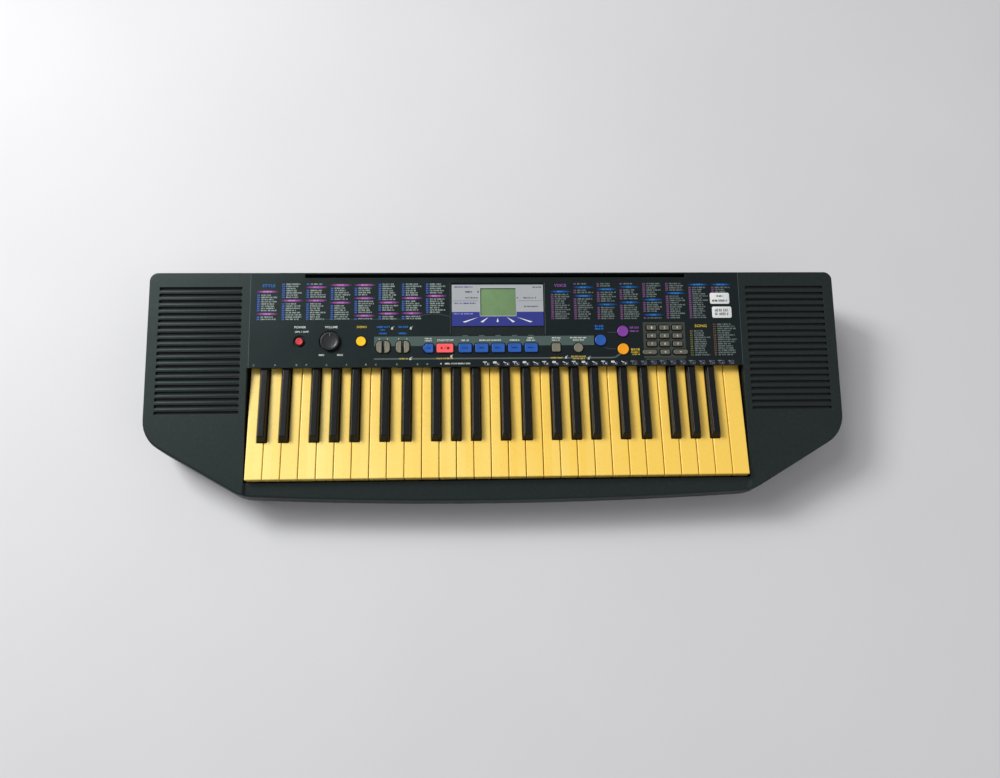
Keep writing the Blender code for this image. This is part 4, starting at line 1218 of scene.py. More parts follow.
STYLES = ListFamily(
    "style",
    Ink.STYLE_STRIP,
    Ink.STYLE_DIGIT,
    Ink.STYLE_HEAD,
    Ink.STYLE_GLOW,
    Ink.STYLE_MARK,
    (
        (-333.5, ((260.2, 0), (255.2, 8), (228.7, 0), (224.2, 2))),
        (-299.5, ((270.8, 7), (247.5, 0), (242.8, 8))),
        (-266.0, ((270.8, 1), (266.4, 0), (261.8, 4), (247.5, 0), (242.8, 8))),
        (-232.5, ((269.4, 0), (264.8, 6), (244.4, 0), (239.8, 7))),
        (-199.5, ((269.4, 0), (264.8, 4), (250.6, 0), (246.0, 6), (225.8, 0), (221.3, 1))),
        (-166.2, ((270.5, 8), (244.4, 0), (239.8, 3), (228.7, 0), (224.2, 2))),
        (-133.8, ((270.5, 6), (250.6, 0), (246.0, 5), (229.0, 0), (224.4, 2))),
        (-100.3, ((270.5, 5), (253.6, 0), (249.0, 7))),
    ),
)
VOICES = ListFamily(
    "voice",
    Ink.VOICE_STRIP,
    Ink.VOICE_DIGIT,
    Ink.VOICE_HEAD,
    Ink.VOICE_GLOW,
    Ink.VOICE_MARK,
    (
        (75.3, ((259.4, 0), (255.0, 12))),
        (107.6, ((270.5, 1), (265.5, 0), (261.0, 2), (253.0, 0), (248.5, 10))),
        (140.6, ((270.5, 2), (262.6, 0), (258.0, 5), (240.5, 0), (236.0, 6))),
        (173.0, ((270.5, 1), (265.8, 0), (261.3, 5), (243.5, 0), (239.0, 7))),
        (205.9, ((270.5, 7), (247.3, 0), (243.0, 5), (225.5, 0), (221.0, 1))),
        (238.8, ((270.5, 4), (256.7, 0), (252.2, 11))),
        (271.8, ((269.1, 0), (264.8, 15))),
        (304.7, ((269.1, 0), (264.8, 3))),
    ),
)


@dataclass(frozen=True)
class SongList:
    """One column of songs: its side, ink, left edge, first row, rows, width and first number."""

    side: str
    ink: Ink
    left: float
    top: float
    rows: int
    width: float
    first: int


@dataclass
class ListPrinting:
    """The printed lists of sounds: number columns, headings and stand-in names."""

    row: float = 3.1
    strip_width: float = 4.4
    strip_margin: float = 1.3
    digit_width: float = 3.0
    digit_height: float = 1.6
    digit_drop: float = 0.85
    name_indent: float = 5.8
    name_widths: Point = (13.0, 22.5)
    head_indent: float = 14.2
    head_half: Point = (14.8, 2.1)
    glow_half: Point = (11.4, 1.4)
    head_words: Point = (3.5, 7.0)
    head_word_height: float = 1.6
    song_title: Quad = (287.0, 207.6, 3.8, 17.0)
    song_lists: tuple[SongList, ...] = (
        SongList("left", Ink.SONG_OLIVE, 271.2, 202.0, 12, 23.0, 1),
        SongList("right", Ink.SONG_RED, 304.7, 211.4, 15, 29.0, 13),
    )
    song_digit_width: float = 3.4
    song_digit_height: float = 1.8
    song_digit_indent: float = 1.8
    song_drop: float = 0.8
    song_name_indent: float = 5.9
    song_short: float = 0.55
    seed: int = 78

    def build(self) -> None:
        """Print the lists and build each ink's piece."""
        rng = random.Random(self.seed)
        # The voice and song names take the dimmer ink as painted shade of the light falling off to the right
        names, dim = Print(Ink.LIST), Print(Ink.LIST_DIM)
        self.family(STYLES, names, rng)
        self.family(VOICES, dim, rng)
        self.songs(dim, rng)
        names.piece("print_list_names")
        dim.piece("print_list_names_painted_shade")

    def family(self, family: ListFamily, names: Print, rng: random.Random) -> None:
        """Print one family of lists.

        Args:
            family: The family.
            names: Layer of the names.
            rng: The seeded source of word lengths.
        """
        strip, head, glow = Print(family.strip), Print(family.head), Print(family.glow, GLOW_LIFT)
        digits, mark = Print(family.digits, MARK_LIFT), Print(family.mark, MARK_LIFT)
        number = 0
        for left, blocks in family.columns:
            for top, rows in blocks:
                if not rows:
                    self.heading((head, glow, mark), left, top, rng)
                    continue
                x, high = PANEL.sheet(left, top + self.strip_margin)
                _, low = PANEL.sheet(left, top - (rows - 1) * self.row - self.strip_margin)
                strip.bar(x, low, self.strip_width, high - low)
                middle = x + self.strip_width / 2
                for row in range(rows):
                    _, v = PANEL.sheet(left, top - row * self.row - self.digit_drop)
                    digits.text(f"{number % 100:02d}", middle, v, self.digit_height, self.digit_width)
                    names.words(rng, x + self.name_indent, v, rng.uniform(*self.name_widths))
                    number += 1
        strip.piece(f"print_{family.name}_strips")
        head.piece(f"print_{family.name}_headings")
        glow.piece(f"print_{family.name}_heading_glow")
        digits.piece(f"print_{family.name}_numbers")
        mark.piece(f"print_{family.name}_heading_marks")

    def heading(self, layers: Sequence[Print], left: float, middle: float, rng: random.Random) -> None:
        """Print one lens-shaped heading, brighter in its middle, with a stand-in word on it.

        Args:
            layers: Layers of the lens, its bright middle and the word.
            left: Left edge of the column.
            middle: Height of the heading's middle.
            rng: The seeded source of word lengths.
        """
        head, glow, mark = layers
        sides = 24
        x, v = PANEL.sheet(left + self.head_indent, middle)
        turns = [math.tau * number / sides for number in range(sides)]
        for layer, (wide, high) in ((head, self.head_half), (glow, self.glow_half)):
            layer.area([(x + wide * math.cos(turn), v + high * math.sin(turn)) for turn in turns])
        half, height = rng.uniform(*self.head_words), self.head_word_height
        mark.words(rng, x - half, v - height / 2, 2 * half, height)

    def songs(self, names: Print, rng: random.Random) -> None:
        """Print the two song lists and their heading.

        Args:
            names: Layer of the names.
            rng: The seeded source of word lengths.
        """
        title = Print(Ink.LABEL_YELLOW)
        x, y, height, width = self.song_title
        title.text("SONG", *PANEL.sheet(x, y), height, width)
        title.piece("print_song_heading")
        for songs in self.song_lists:
            digits = Print(songs.ink)
            for row in range(songs.rows):
                x, v = PANEL.sheet(songs.left, songs.top - row * self.row - self.song_drop)
                number, middle = f"{songs.first + row:02d}", x + self.song_digit_indent
                digits.text(number, middle, v, self.song_digit_height, self.song_digit_width)
                width = rng.uniform(songs.width * self.song_short, songs.width)
                names.words(rng, x + self.song_name_indent, v, width)
            digits.piece(f"print_song_numbers_{songs.side}")


@dataclass(frozen=True)
class Sticker:
    """A paper label: its edges in the layout, the ink of its writing and two lines of it.

    A line is its indent, its distance from the label's top or foot, its width and its height.
    """

    left: float
    right: float
    low: float
    high: float
    ink: Ink
    top_line: Quad
    foot_line: Quad


@dataclass
class PanelPrinting:
    """Labels, rules, small signs and stickers of the control panel.

    Places are points of the printing layout. A label is its text, the middle of its foot, its height
    and its width. A run of stand-in words is its left end, its right end, its foot and its height.
    """

    labels: tuple[tuple[Ink, tuple[tuple[str, float, float, float, float], ...]], ...] = (
        (
            Ink.WHITE,
            (
                ("POWER", -273.2, 208.4, 3.0, 16.0),
                ("ON / OFF", -271.0, 202.2, 2.5, 19.0),
                ("VOLUME", -230.7, 208.4, 3.0, 17.4),
                ("MIN", -243.5, 169.6, 2.6, 7.0),
                ("MAX", -218.0, 169.6, 2.6, 8.0),
                ("START/STOP", -73.0, 189.4, 2.5, 23.0),
            ),
        ),
        (Ink.LABEL_YELLOW, (("DEMO", -188.6, 208.4, 3.0, 13.6),)),
        (Ink.LABEL_BLUE, (("STYLE", -317.6, 266.9, 4.0, 17.6),)),
        (Ink.LABEL_PURPLE, (("VOICE", 89.1, 266.4, 4.0, 17.0),)),
    )
    runs: tuple[tuple[Ink, tuple[Quad, ...]], ...] = (
        (
            Ink.LABEL_BLUE,
            (
                (-168.0, -150.0, 208.6, 2.5), (-163.5, -154.5, 204.6, 2.2), (-165.0, -153.5, 199.4, 2.4),
                (-138.0, -124.0, 208.6, 2.5), (-138.0, -126.0, 199.4, 2.4),
            ),
        ),
        (
            Ink.WHITE,
            (
                (-101.6, -91.6, 192.2, 1.7), (-101.6, -91.6, 189.2, 1.7), (-51.0, -40.4, 189.4, 2.0),
                (-26.0, 4.0, 189.4, 2.0), (16.5, 30.5, 189.4, 2.0), (41.5, 50.0, 192.4, 1.8),
                (40.0, 52.0, 189.2, 1.8), (75.5, 88.0, 192.4, 1.8), (75.5, 87.0, 189.2, 1.8),
                (101.0, 124.0, 192.4, 1.8), (105.0, 121.0, 189.2, 1.8),
            ),
        ),
        (Ink.LABEL_BLUE, ((136.5, 149.5, 208.2, 3.0), (136.5, 149.5, 204.6, 2.6))),
        (Ink.LABEL_PURPLE, ((186.0, 199.0, 205.8, 3.2), (186.0, 199.0, 201.2, 2.2))),
        (
            Ink.LABEL_YELLOW,
            (
                (186.5, 199.0, 174.6, 3.2), (186.5, 199.0, 171.4, 2.0), (188.0, 199.0, 168.4, 2.0),
                (-137.0, -124.0, 164.2, 2.0), (-85.5, -62.0, 164.2, 2.0), (73.0, 90.6, 164.2, 2.0),
                (102.0, 123.5, 166.0, 1.8), (104.0, 121.5, 162.8, 1.8),
            ),
        ),
        (Ink.WHITE, ((-74.0, -38.5, 156.9, 2.0),)),
    )
    beat_signs: tuple[Point, ...] = (
        (-146.8, 206.2), (-121.0, 206.2), (-121.5, 163.4), (94.7, 164.0), (126.5, 162.6), (-65.0, 166.5),
    )
    arrow_place: Point = (-81.0, 157.9)
    caret_v: float = 39.0
    note_y: float = 156.2
    note_marks: tuple[tuple[str, float], ...] = (
        ("C", -335.3), ("D", -306.2), ("E", -277.0), ("F", -263.5), ("G", -236.5), ("A", -209.0),
        ("B", -182.4), ("C", -168.9), ("D", -140.0), ("E", -111.5), ("F", -98.0),
    )
    edge_left: float = -341.6
    edge_right: float = 342.8
    edge_foot: float = 0.6
    edge_top: float = 133.6
    corner_x: float = -300.0
    thin: float = 0.5
    lines: tuple[tuple[Point, ...], ...] = (
        ((154.0, 200.8), (167.6, 200.8)),
        ((149.4, 179.6), (155.0, 177.3), (164.7, 177.3)),
        ((-250.0, 220.8), (-115.0, 220.8), (-104.0, 226.5), (-92.6, 228.0), (-81.0, 227.5), (-67.0, 224.5)),
        ((-66.2, 199.0), (-66.2, 272.0)),
        ((66.4, 199.0), (66.4, 272.0)),
    )
    line_width: float = 0.45
    band_end: tuple[Point, ...] = ((160.0, 11.55), (164.0, 12.2), (170.5, 17.0))
    band_width: float = 2.2
    oblong_bar: Quad = (43.4, 7.5, 1.8, 0.4)
    pad_bar: Quad = (206.0, 8.3, 55.0, 0.8)
    sign_first: Point = (-16.8, 157.6)
    sign_count: int = 26
    sign_pitch: float = 13.75
    sign_bright: int = 15
    sticker_corner: float = 2.4
    sticker_levels: tuple[Point, ...] = ((0.0, 0.02), (0.0, 0.12), (-0.1, 0.16))
    seed: int = 5

    def build(self) -> None:
        """Print every label and rule of the panel."""
        self.print_labels()
        self.print_rules()
        self.print_signs()
        self.lay_stickers()

    def print_labels(self) -> None:
        """Print the controls' labels."""
        rng = random.Random(self.seed)
        layers = {ink: Print(ink) for ink, _ in self.labels}
        for ink, labels in self.labels:
            for words, x, y, height, width in labels:
                layers[ink].text(words, *PANEL.sheet(x, y), height, width)
        for ink, runs in self.runs:
            for run in runs:
                layers[ink].run(rng, run)
        white = layers[Ink.WHITE]
        for place in self.beat_signs:
            self.beat_sign(white, *PANEL.sheet(*place))
        for x in HALF_OVAL_X:
            white.area([(x - 1.0, self.caret_v), (x + 1.0, self.caret_v), (x, self.caret_v + 1.7)])
        x, v = PANEL.sheet(*self.arrow_place)
        white.area([(x, v), (x + 2.4, v - 1.3), (x + 2.4, v + 1.3)])
        notes = Print(Ink.LIST)
        for letter, x in self.note_marks:
            notes.text(letter, *PANEL.sheet(x, self.note_y), 2.2, 2.0)
        notes.piece("print_note_letters")
        white.piece("print_labels_white")
        layers[Ink.LABEL_BLUE].piece("print_labels_blue")
        layers[Ink.LABEL_PURPLE].piece("print_labels_purple")
        layers[Ink.LABEL_YELLOW].piece("print_labels_yellow")

    def beat_sign(self, layer: Print, x: float, v: float) -> None:
        """Print one small sign of a beat: a tapered body and a slanting rod."""
        layer.area([(x - 1.7, v), (x + 1.3, v), (x + 0.7, v + 3.4), (x - 0.5, v + 3.4)])
        layer.stroke((x - 0.2, v + 1.2), (x + 2.4, v + 4.4), 0.5)

    def print_rules(self) -> None:
        """Print the panel's fine lines, and a bar above each oblong button."""
        line = Print(Ink.LINE)
        line.stroke((self.edge_left, self.edge_foot), (self.edge_left, self.edge_top), 0.7)
        line.stroke((self.edge_right, self.edge_foot), (self.edge_right, self.edge_top), self.thin)
        line.stroke((self.edge_left, self.edge_top), (self.corner_x, self.edge_top), self.thin)
        for points in self.lines:
            line.path([PANEL.sheet(*point) for point in points], self.line_width)
        line.path(self.band_end, self.band_width)
        for x in OBLONG_X:
            line.area(block(x, *self.oblong_bar))
        line.bar(*self.pad_bar)
        line.piece("print_rules")

    def print_signs(self) -> None:
        """Print the row of small drum-like signs above the right-hand keys."""
        frames = Print(Ink.SIGN_FRAME)
        bright, dim = Print(Ink.WHITE, SIGN_LIFT), Print(Ink.LIST_DIM, SIGN_LIFT)
        first_x, y = self.sign_first
        for number in range(self.sign_count):
            x, v = PANEL.sheet(first_x + number * self.sign_pitch, y)
            lit = number < self.sign_bright
            left, right, low, high = x - 1.6, x + 4.4, v - 2.5, v + (1.0 if lit else 2.2)
            frames.path([(left, low), (right, low), (right, high), (left, high), (left, low)], 0.6)
            self.drum(bright if lit else dim, number, lit, x, v)
        frames.piece("print_sign_frames")
        bright.piece("print_sign_shapes")
        dim.piece("print_sign_shapes_dim")

    def drum(self, layer: Print, number: int, lit: bool, x: float, v: float) -> None:
        """Print one sign's two small shapes, which differ from sign to sign.

        Args:
            layer: The layer to print on.
            number: The sign's number in the row.
            lit: Whether it is one of the bright signs.
            x: Its place across the panel.
            v: Its place up the panel.
        """
        if number % 3 == 0:
            layer.stroke((x - 4.4, v + 2.2), (x + 0.8, v + 2.2), 1.3)
            layer.stroke((x - 1.8, v + 2.0), (x - 1.8, v - 0.8), 0.8)
        elif number % 3 == 1 and lit:
            layer.area(block(x - 1.8, v + 1.5, 5.0, 2.8, 0.8))
        else:
            layer.stroke((x - 3.4, v + 2.2), (x + 0.4, v + 0.4), 1.1)
        if number % 2:
            layer.stroke((x + 0.8, v + 0.2), (x + 3.2, v - 1.6), 0.9)
        else:
            layer.area(disc(x + 2.2, v - 0.9, 2.0, sides=12))

    def lay_stickers(self) -> None:
        """Lay the two white labels, with stand-in writing, on the right of the panel."""
        mark, soft = Ink.STICKER_MARK, Ink.STICKER_SOFT
        stickers = (
            Sticker(302.4, 330.2, 241.0, 257.0, mark, (9.0, 6.2, 11.0, 2.9), (3.0, 3.2, 22.0, 3.0)),
            Sticker(304.5, 332.4, 220.8, 237.0, soft, (4.0, 7.4, 20.0, 4.2), (4.0, 3.6, 20.0, 4.2)),
        )
        paper = Form(PANEL.place)
        writing = {ink: Print(ink, STICKER_LIFT) for ink in (mark, soft)}
        rng = random.Random(self.seed + 1)
        for sticker in stickers:
            left, foot = PANEL.sheet(sticker.left, sticker.low)
            right, top = PANEL.sheet(sticker.right, sticker.high)
            middle, size = ((left + right) / 2, (foot + top) / 2), (right - left, top - foot)
            paper.stack(partial(block, *middle, *size, self.sticker_corner), self.sticker_levels, OPEN_BELOW)
            indent, drop, width, height = sticker.top_line
            writing[sticker.ink].words(rng, left + indent, top - drop, width, height)
            indent, rise, width, height = sticker.foot_line
            writing[sticker.ink].words(rng, left + indent, foot + rise, width, height)
        finish = Plastic("sticker_paper", Ink.STICKER.value, 0.6, 500.0, 0.00005, edge=0.0002, cloud=0.04)
        paper.piece("panel_stickers", "case", finish.build(), "case")
        writing[mark].piece("sticker_writing")
        writing[soft].piece("sticker_writing_soft")


@dataclass
class Display:
    """The display plate in its recess: grey and blue print, the green window and its frame.

    The plate and the window are in millimetres on the panel, the marks in the printing layout.
    """

    centre: Point = (0.2, 87.0)
    size: Point = (128.0, 59.3)
    plate_w: Point = (-0.29, -0.06)
    window: Point = (0.7, 91.8)
    window_size: Point = (49.8, 40.0)
    corner: float = 0.6
    frame_grow: Point = (-0.15, 0.75)
    frame_w: Point = (-1.9, 0.02)
    glass_corner: float = 1.4
    glass_levels: tuple[Point, ...] = ((-0.55, -1.98), (-0.55, -1.5), (-0.8, -1.4))
    inks: tuple[tuple[str, Ink], ...] = (
        ("dark", Ink.PLATE_DARK), ("blue", Ink.PLATE_BLUE), ("white", Ink.STICKER), ("pale", Ink.PLATE_PALE),
    )
    runs: tuple[tuple[Ink, Quad], ...] = (
        (Ink.PLATE_BLUE, (-60.0, -35.0, 265.4, 1.9)),
        (Ink.PLATE_DARK, (-45.0, -35.5, 258.3, 2.0)),
        (Ink.PLATE_DARK, (-28.2, -25.6, 258.3, 2.0)),
        (Ink.PLATE_DARK, (-45.0, -26.5, 249.8, 2.0)),
        (Ink.PLATE_BLUE, (-60.0, -30.0, 242.0, 1.9)),
        (Ink.PLATE_PALE, (-61.0, -34.5, 227.0, 2.0)),
        (Ink.PLATE_DARK, (50.0, 62.0, 265.0, 1.8)),
        (Ink.PLATE_DARK, (37.0, 46.5, 249.6, 2.0)),
        (Ink.PLATE_DARK, (37.4, 57.7, 237.2, 2.0)),
    )
    play_x: Triple = (28.6, 49.6, 54.0)
    play_y: float = 250.6
    rules: tuple[Point, ...] = ((-63.0, -27.0), (28.4, 63.6))
    rule_y: float = 246.4
    rule_width: float = 0.35
    rays: tuple[Point, ...] = ((-49.0, -27.0), (-24.0, -13.0), (24.5, 13.0), (49.0, 27.0))
    ray_y: Point = (216.6, 223.0)
    middle_ray: Point = (0.0, 222.0)
    seed: int = 11

    def build(self) -> None:
        """Build the plate's sheets, its print, the window frame and the display glass."""
        self.plate()
        self.marks()
        self.glass()

    def ring(self, outer: Sequence[Point], inner: Sequence[Point], low: float, high: float) -> Form:
        """Make a flat ring between two outlines of equal count.

        Args:
            outer: Outer outline.
            inner: Inner outline.
            low: Height of its underside.
            high: Height of its top.

        Returns:
            The mesh.
        """
        form = Form(PANEL.place)
        around = ((inner, low), (outer, low), (outer, high), (inner, high), (inner, low))
        form.loft([[Vector((x, v, height)) for x, v in line] for line, height in around], OPEN)
        return form

    def plate(self) -> None:
        """Build the printed plate round the window, and the window's frame."""
        outer = block(*self.centre, *self.size, self.corner)
        window = partial(block, *self.window, *self.window_size, self.corner)
        sheet = self.ring(outer, window(), *self.plate_w)
        sheet.piece("display_plate", "case", DisplayPlate("display_plate").build(), "case", 30.0)
        edge, lip = (window(grow) for grow in self.frame_grow)
        trim = Plastic("window_frame", tone(168, 176, 178), roughness=0.4, depth=0.00002, edge=0.0002)
        rim = self.ring(lip, edge, *self.frame_w)
        rim.piece("display_window_frame", "case", trim.build(), "case", 30.0)

    def marks(self) -> None:
        """Print the plate's small marks and the white rays below the window."""
        rng = random.Random(self.seed)
        layers = {ink: Print(ink, PLATE_LIFT) for _, ink in self.inks}
        dark, white = layers[Ink.PLATE_DARK], layers[Ink.STICKER]
        for ink, run in self.runs:
            layers[ink].run(rng, run)
        for place in self.play_x:
            x, v = PANEL.sheet(place, self.play_y)
            dark.area([(x - 1.0, v - 1.2), (x + 1.2, v), (x - 1.0, v + 1.2)])
        for left, right in self.rules:
            dark.stroke(PANEL.sheet(left, self.rule_y), PANEL.sheet(right, self.rule_y), self.rule_width)
        for tail, head in self.rays:
            (x, v), tip = PANEL.sheet(tail, self.ray_y[0]), PANEL.sheet(head, self.ray_y[1])
            white.area([(x, v), (x + 3.4, v - 1.2), tip] if tail < 0 else [(x, v), tip, (x - 3.4, v - 1.2)])
        x, v = PANEL.sheet(*self.middle_ray)
        white.area([(x - 1.5, v - 5.8), (x + 1.5, v - 5.8), (x, v)])
        for name, ink in self.inks:
            layers[ink].piece(f"display_marks_{name}")

    def glass(self) -> None:
        """Build the green display window over its module."""
        form = Form(PANEL.place)
        outline = partial(block, *self.window, *self.window_size, self.glass_corner)
        form.stack(outline, self.glass_levels, OPEN_BELOW)
        form.piece("display_glass", "case", LiquidCrystal("display_green").build(), "board", 30.0)


@dataclass
class Button:
    """One moulded button: its outline, rise and colour.

    The rim's points are their inset from the outline and their drop below the top, outermost first.
    """

    name: str
    outline: Grown
    hue: Hue
    rise: float = BUTTON_RISE
    body: str = "panel_buttons"
    node: str = "panel_buttons"
    slot: str = "buttons"
    foot: float = -3.4
    rim: tuple[Point, ...] = (
        (0.0, 0.85), (0.08, 0.45), (0.28, 0.16), (0.6, 0.02), (0.85, 0.0), (1.15, 0.0525),
    )

    def build(self, material: bpy.types.Material) -> None:
        """Build the button's cap with a rounded rim and a slightly dished top.

        Args:
            material: The finish of its colour.
        """
        form = Form(PANEL.place)
        rim = [(-inset, self.rise - drop) for inset, drop in self.rim]
        form.stack(self.outline, [(0.0, self.foot), *rim])
        item = form.piece(self.name, self.body, material, self.slot, 50.0)
        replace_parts(item, self.node)


class GapShade:
    """Dark rims printed round the buttons' holes in the panel, as painted shade."""

    lift = 0.03

    def __init__(self) -> None:
        """Start with no rims."""
        self.form = Form(PANEL.place)

    def add(self, outline: Grown, inner: float = 0.45, outer: float = 1.55) -> None:
        """Add a rim of painted shade round an outline.

        Args:
            outline: A function that gives the outline for a growth.
            inner: Growth of the rim's inner edge.
            outer: Growth of its outer edge.
        """
        self.form.stack(outline, [(outer, self.lift), (inner, self.lift)], OPEN)

    def piece(self, name: str) -> None:
        """Close the rims into one piece of the case."""
        self.form.piece(name, "case", InkFinish(name, Ink.GAP.value).build(), "case", 0.0)


@dataclass
class ControlSet:
    """Every button of the panel, with the web that joins them below."""

    row_v: float = 25.8
    row_height: float = 12.6
    square: float = 11.8
    power_rise: float = 3.2
    oval_v: float = 27.9
    oblong_width: float = 18.0
    # Painted shade round the knob: its well's diameter and the rim's inner and outer growth
    knob_gap_shade: Triple = (31.0, -0.2, 0.5)
    web_v: float = 26.0
    web_height: float = 8.0
    web_margin: float = 2.0
    web_levels: tuple[Point, ...] = ((0.0, -4.2), (0.0, -3.5))
    mark_v: float = 24.9
    mark_height: float = 1.9
    mark_inset: float = 4.2
    mark_width: float = 9.0
    sync_mark_x: float = -98.6
    sync_mark_width: float = 6.0
    seed: int = 3

    def build(self) -> None:
        """Build the buttons and the marks on them."""
        hues = [hue for hue in Hue if hue is not Hue.PAD]
        materials = {hue: ButtonFinish("button_" + hue.name.lower(), hue.value).build() for hue in hues}
        # Dark rims of painted shade round every button and the knob
        shade = GapShade()
        for button in self.buttons():
            button.build(materials[button.hue])
            shade.add(button.outline)
        diameter, inner, outer = self.knob_gap_shade
        shade.add(partial(disc, *KNOB_CENTRE, diameter), inner, outer)
        shade.piece("button_gap_shade")
        self.web(materials[Hue.TAUPE])
        self.marks()

    def buttons(self) -> list[Button]:
        """List the buttons, the round ones first.

        Returns:
            The buttons.
        """
        row, high, square, corner = self.row_v, self.row_height, self.square, BUTTON_CORNER
        power, rise = "power_button", self.power_rise
        found = [
            Button("power_cap", partial(disc, -273.0, 36.1, 10.0), Hue.RED, rise, power, power, "power"),
            Button("demo_button", partial(disc, -188.8, 36.0, 13.3), Hue.YELLOW),
            Button("sync_button", partial(pointed, -97.2, row, 14.9, high), Hue.BLUE),
            Button("start_stop_button", partial(block, -73.6, row, 23.0, high, corner), Hue.CORAL),
            Button("square_button", partial(block, 80.7, row, square, square, corner), Hue.TAUPE),
            Button("round_button", partial(disc, 111.8, 25.4, 12.7), Hue.TAUPE),
            Button("style_select", partial(disc, 143.1, 36.0, 15.5), Hue.BLUE),
            Button("voice_select", partial(disc, 174.7, 48.5, 15.5), Hue.PURPLE),
            Button("song_select", partial(disc, 174.5, 23.2, 15.5), Hue.ORANGE),
        ]
        for number, x in enumerate(HALF_OVAL_X, 1):
            outline = partial(half_oval, x, self.oval_v, -1 if number % 2 else 1)
            found.append(Button(f"half_oval_{number}", outline, Hue.TAUPE))
        for number, x in enumerate(OBLONG_X, 1):
            outline = partial(block, x, row, self.oblong_width, high, corner)
            found.append(Button(f"blue_button_{number}", outline, Hue.BLUE))
        return found

    def web(self, material: bpy.types.Material) -> None:
        """Build the thin web under the panel that joins the moulded set.

        Args:
            material: The web's finish.
        """
        low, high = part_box("panel_buttons")
        form = Form(PANEL.place)
        middle = (low.x + high.x) / 2 / MM
        width = (high.x - low.x) / MM - 2 * self.web_margin
        form.stack(partial(block, middle, self.web_v, width, self.web_height, 1.0), self.web_levels)
        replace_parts(form.piece("button_web", "panel_buttons", material, "buttons"), "panel_buttons")

    def marks(self) -> None:
        """Print the marks on the start button, the oblong ones and the pointed one."""
        rng = random.Random(self.seed)
        place = PANEL.raised(BUTTON_RISE)
        dark, red = (Print(ink, BUTTON_LIFT, place) for ink in (Ink.BUTTON_MARK, Ink.START_MARK))
        red.area([(-79.4, 23.6), (-75.8, 25.8), (-79.4, 28.0)])
        red.stroke((-74.6, 23.4), (-72.6, 28.2), 0.5)
        red.area([(-71.2, 23.8), (-67.4, 23.8), (-67.4, 27.6), (-71.2, 27.6)])
        for x in OBLONG_X:
            dark.words(rng, x - self.mark_inset, self.mark_v, self.mark_width, self.mark_height)
        dark.words(rng, self.sync_mark_x, self.mark_v, self.sync_mark_width, self.mark_height)
        dark.piece("button_marks_blue", "panel_buttons", "buttons")
        red.piece("button_marks_start", "panel_buttons", "buttons")


@dataclass
class NumberPad:
    """The number keys: three rows of three, and a row with two wide keys."""

    centre: Point = (233.4, 36.0)
    column: float = 18.15
    row: float = 11.6
    key_width: float = 13.0
    key_height: float = 6.6
    wide: float = 20.2
    wide_offset: float = 21.8
    # Inner and outer growth of the painted shade round each key
    gap: Point = (0.45, 1.7)
    legends: str = "123456789-0+"
    legend_height: float = 3.0
    digit_width: float = 2.1
    sign_width: float = 3.2
    web_size: Point = (60.0, 45.0)
    web_corner: float = 2.0
    web_levels: tuple[Point, ...] = ((0.0, -4.2), (0.0, -3.4))

    def build(self) -> None:
        """Build the keys, their digits and the sheet that carries them."""
        material = ButtonFinish("pad_key", Hue.PAD.value).build()
        ink = Print(Ink.WHITE, BUTTON_LIFT, PANEL.raised(BUTTON_RISE))
        # Dark rims of painted shade round every key
        shade = GapShade()
        pad = "number_pad"
        for number, legend in enumerate(self.legends):
            line, place = divmod(number, 3)
            wide = line == 3 and place != 1
            x = self.centre[0] + (place - 1) * (self.wide_offset if wide else self.column)
            v = self.centre[1] + (1.5 - line) * self.row
            width = self.wide if wide else self.key_width
            corner = self.key_height / 2 - 0.1 if wide else self.key_height / 5
            outline = partial(block, x, v, width, self.key_height, corner)
            key = Button(f"pad_key_{number + 1:02d}", outline, Hue.PAD, BUTTON_RISE, pad, pad, "pad")
            key.build(material)
            shade.add(outline, *self.gap)
            legend_width = self.sign_width if legend in "+-" else self.digit_width
            ink.text(legend, x, v - self.legend_height / 2, self.legend_height, legend_width)
        shade.piece("pad_gap_shade")
        form = Form(PANEL.place)
        form.stack(partial(block, *self.centre, *self.web_size, self.web_corner), self.web_levels)
        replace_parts(form.piece("pad_web", "number_pad", material, "pad"), "number_pad")
        ink.piece("pad_digits", "number_pad", "pad")


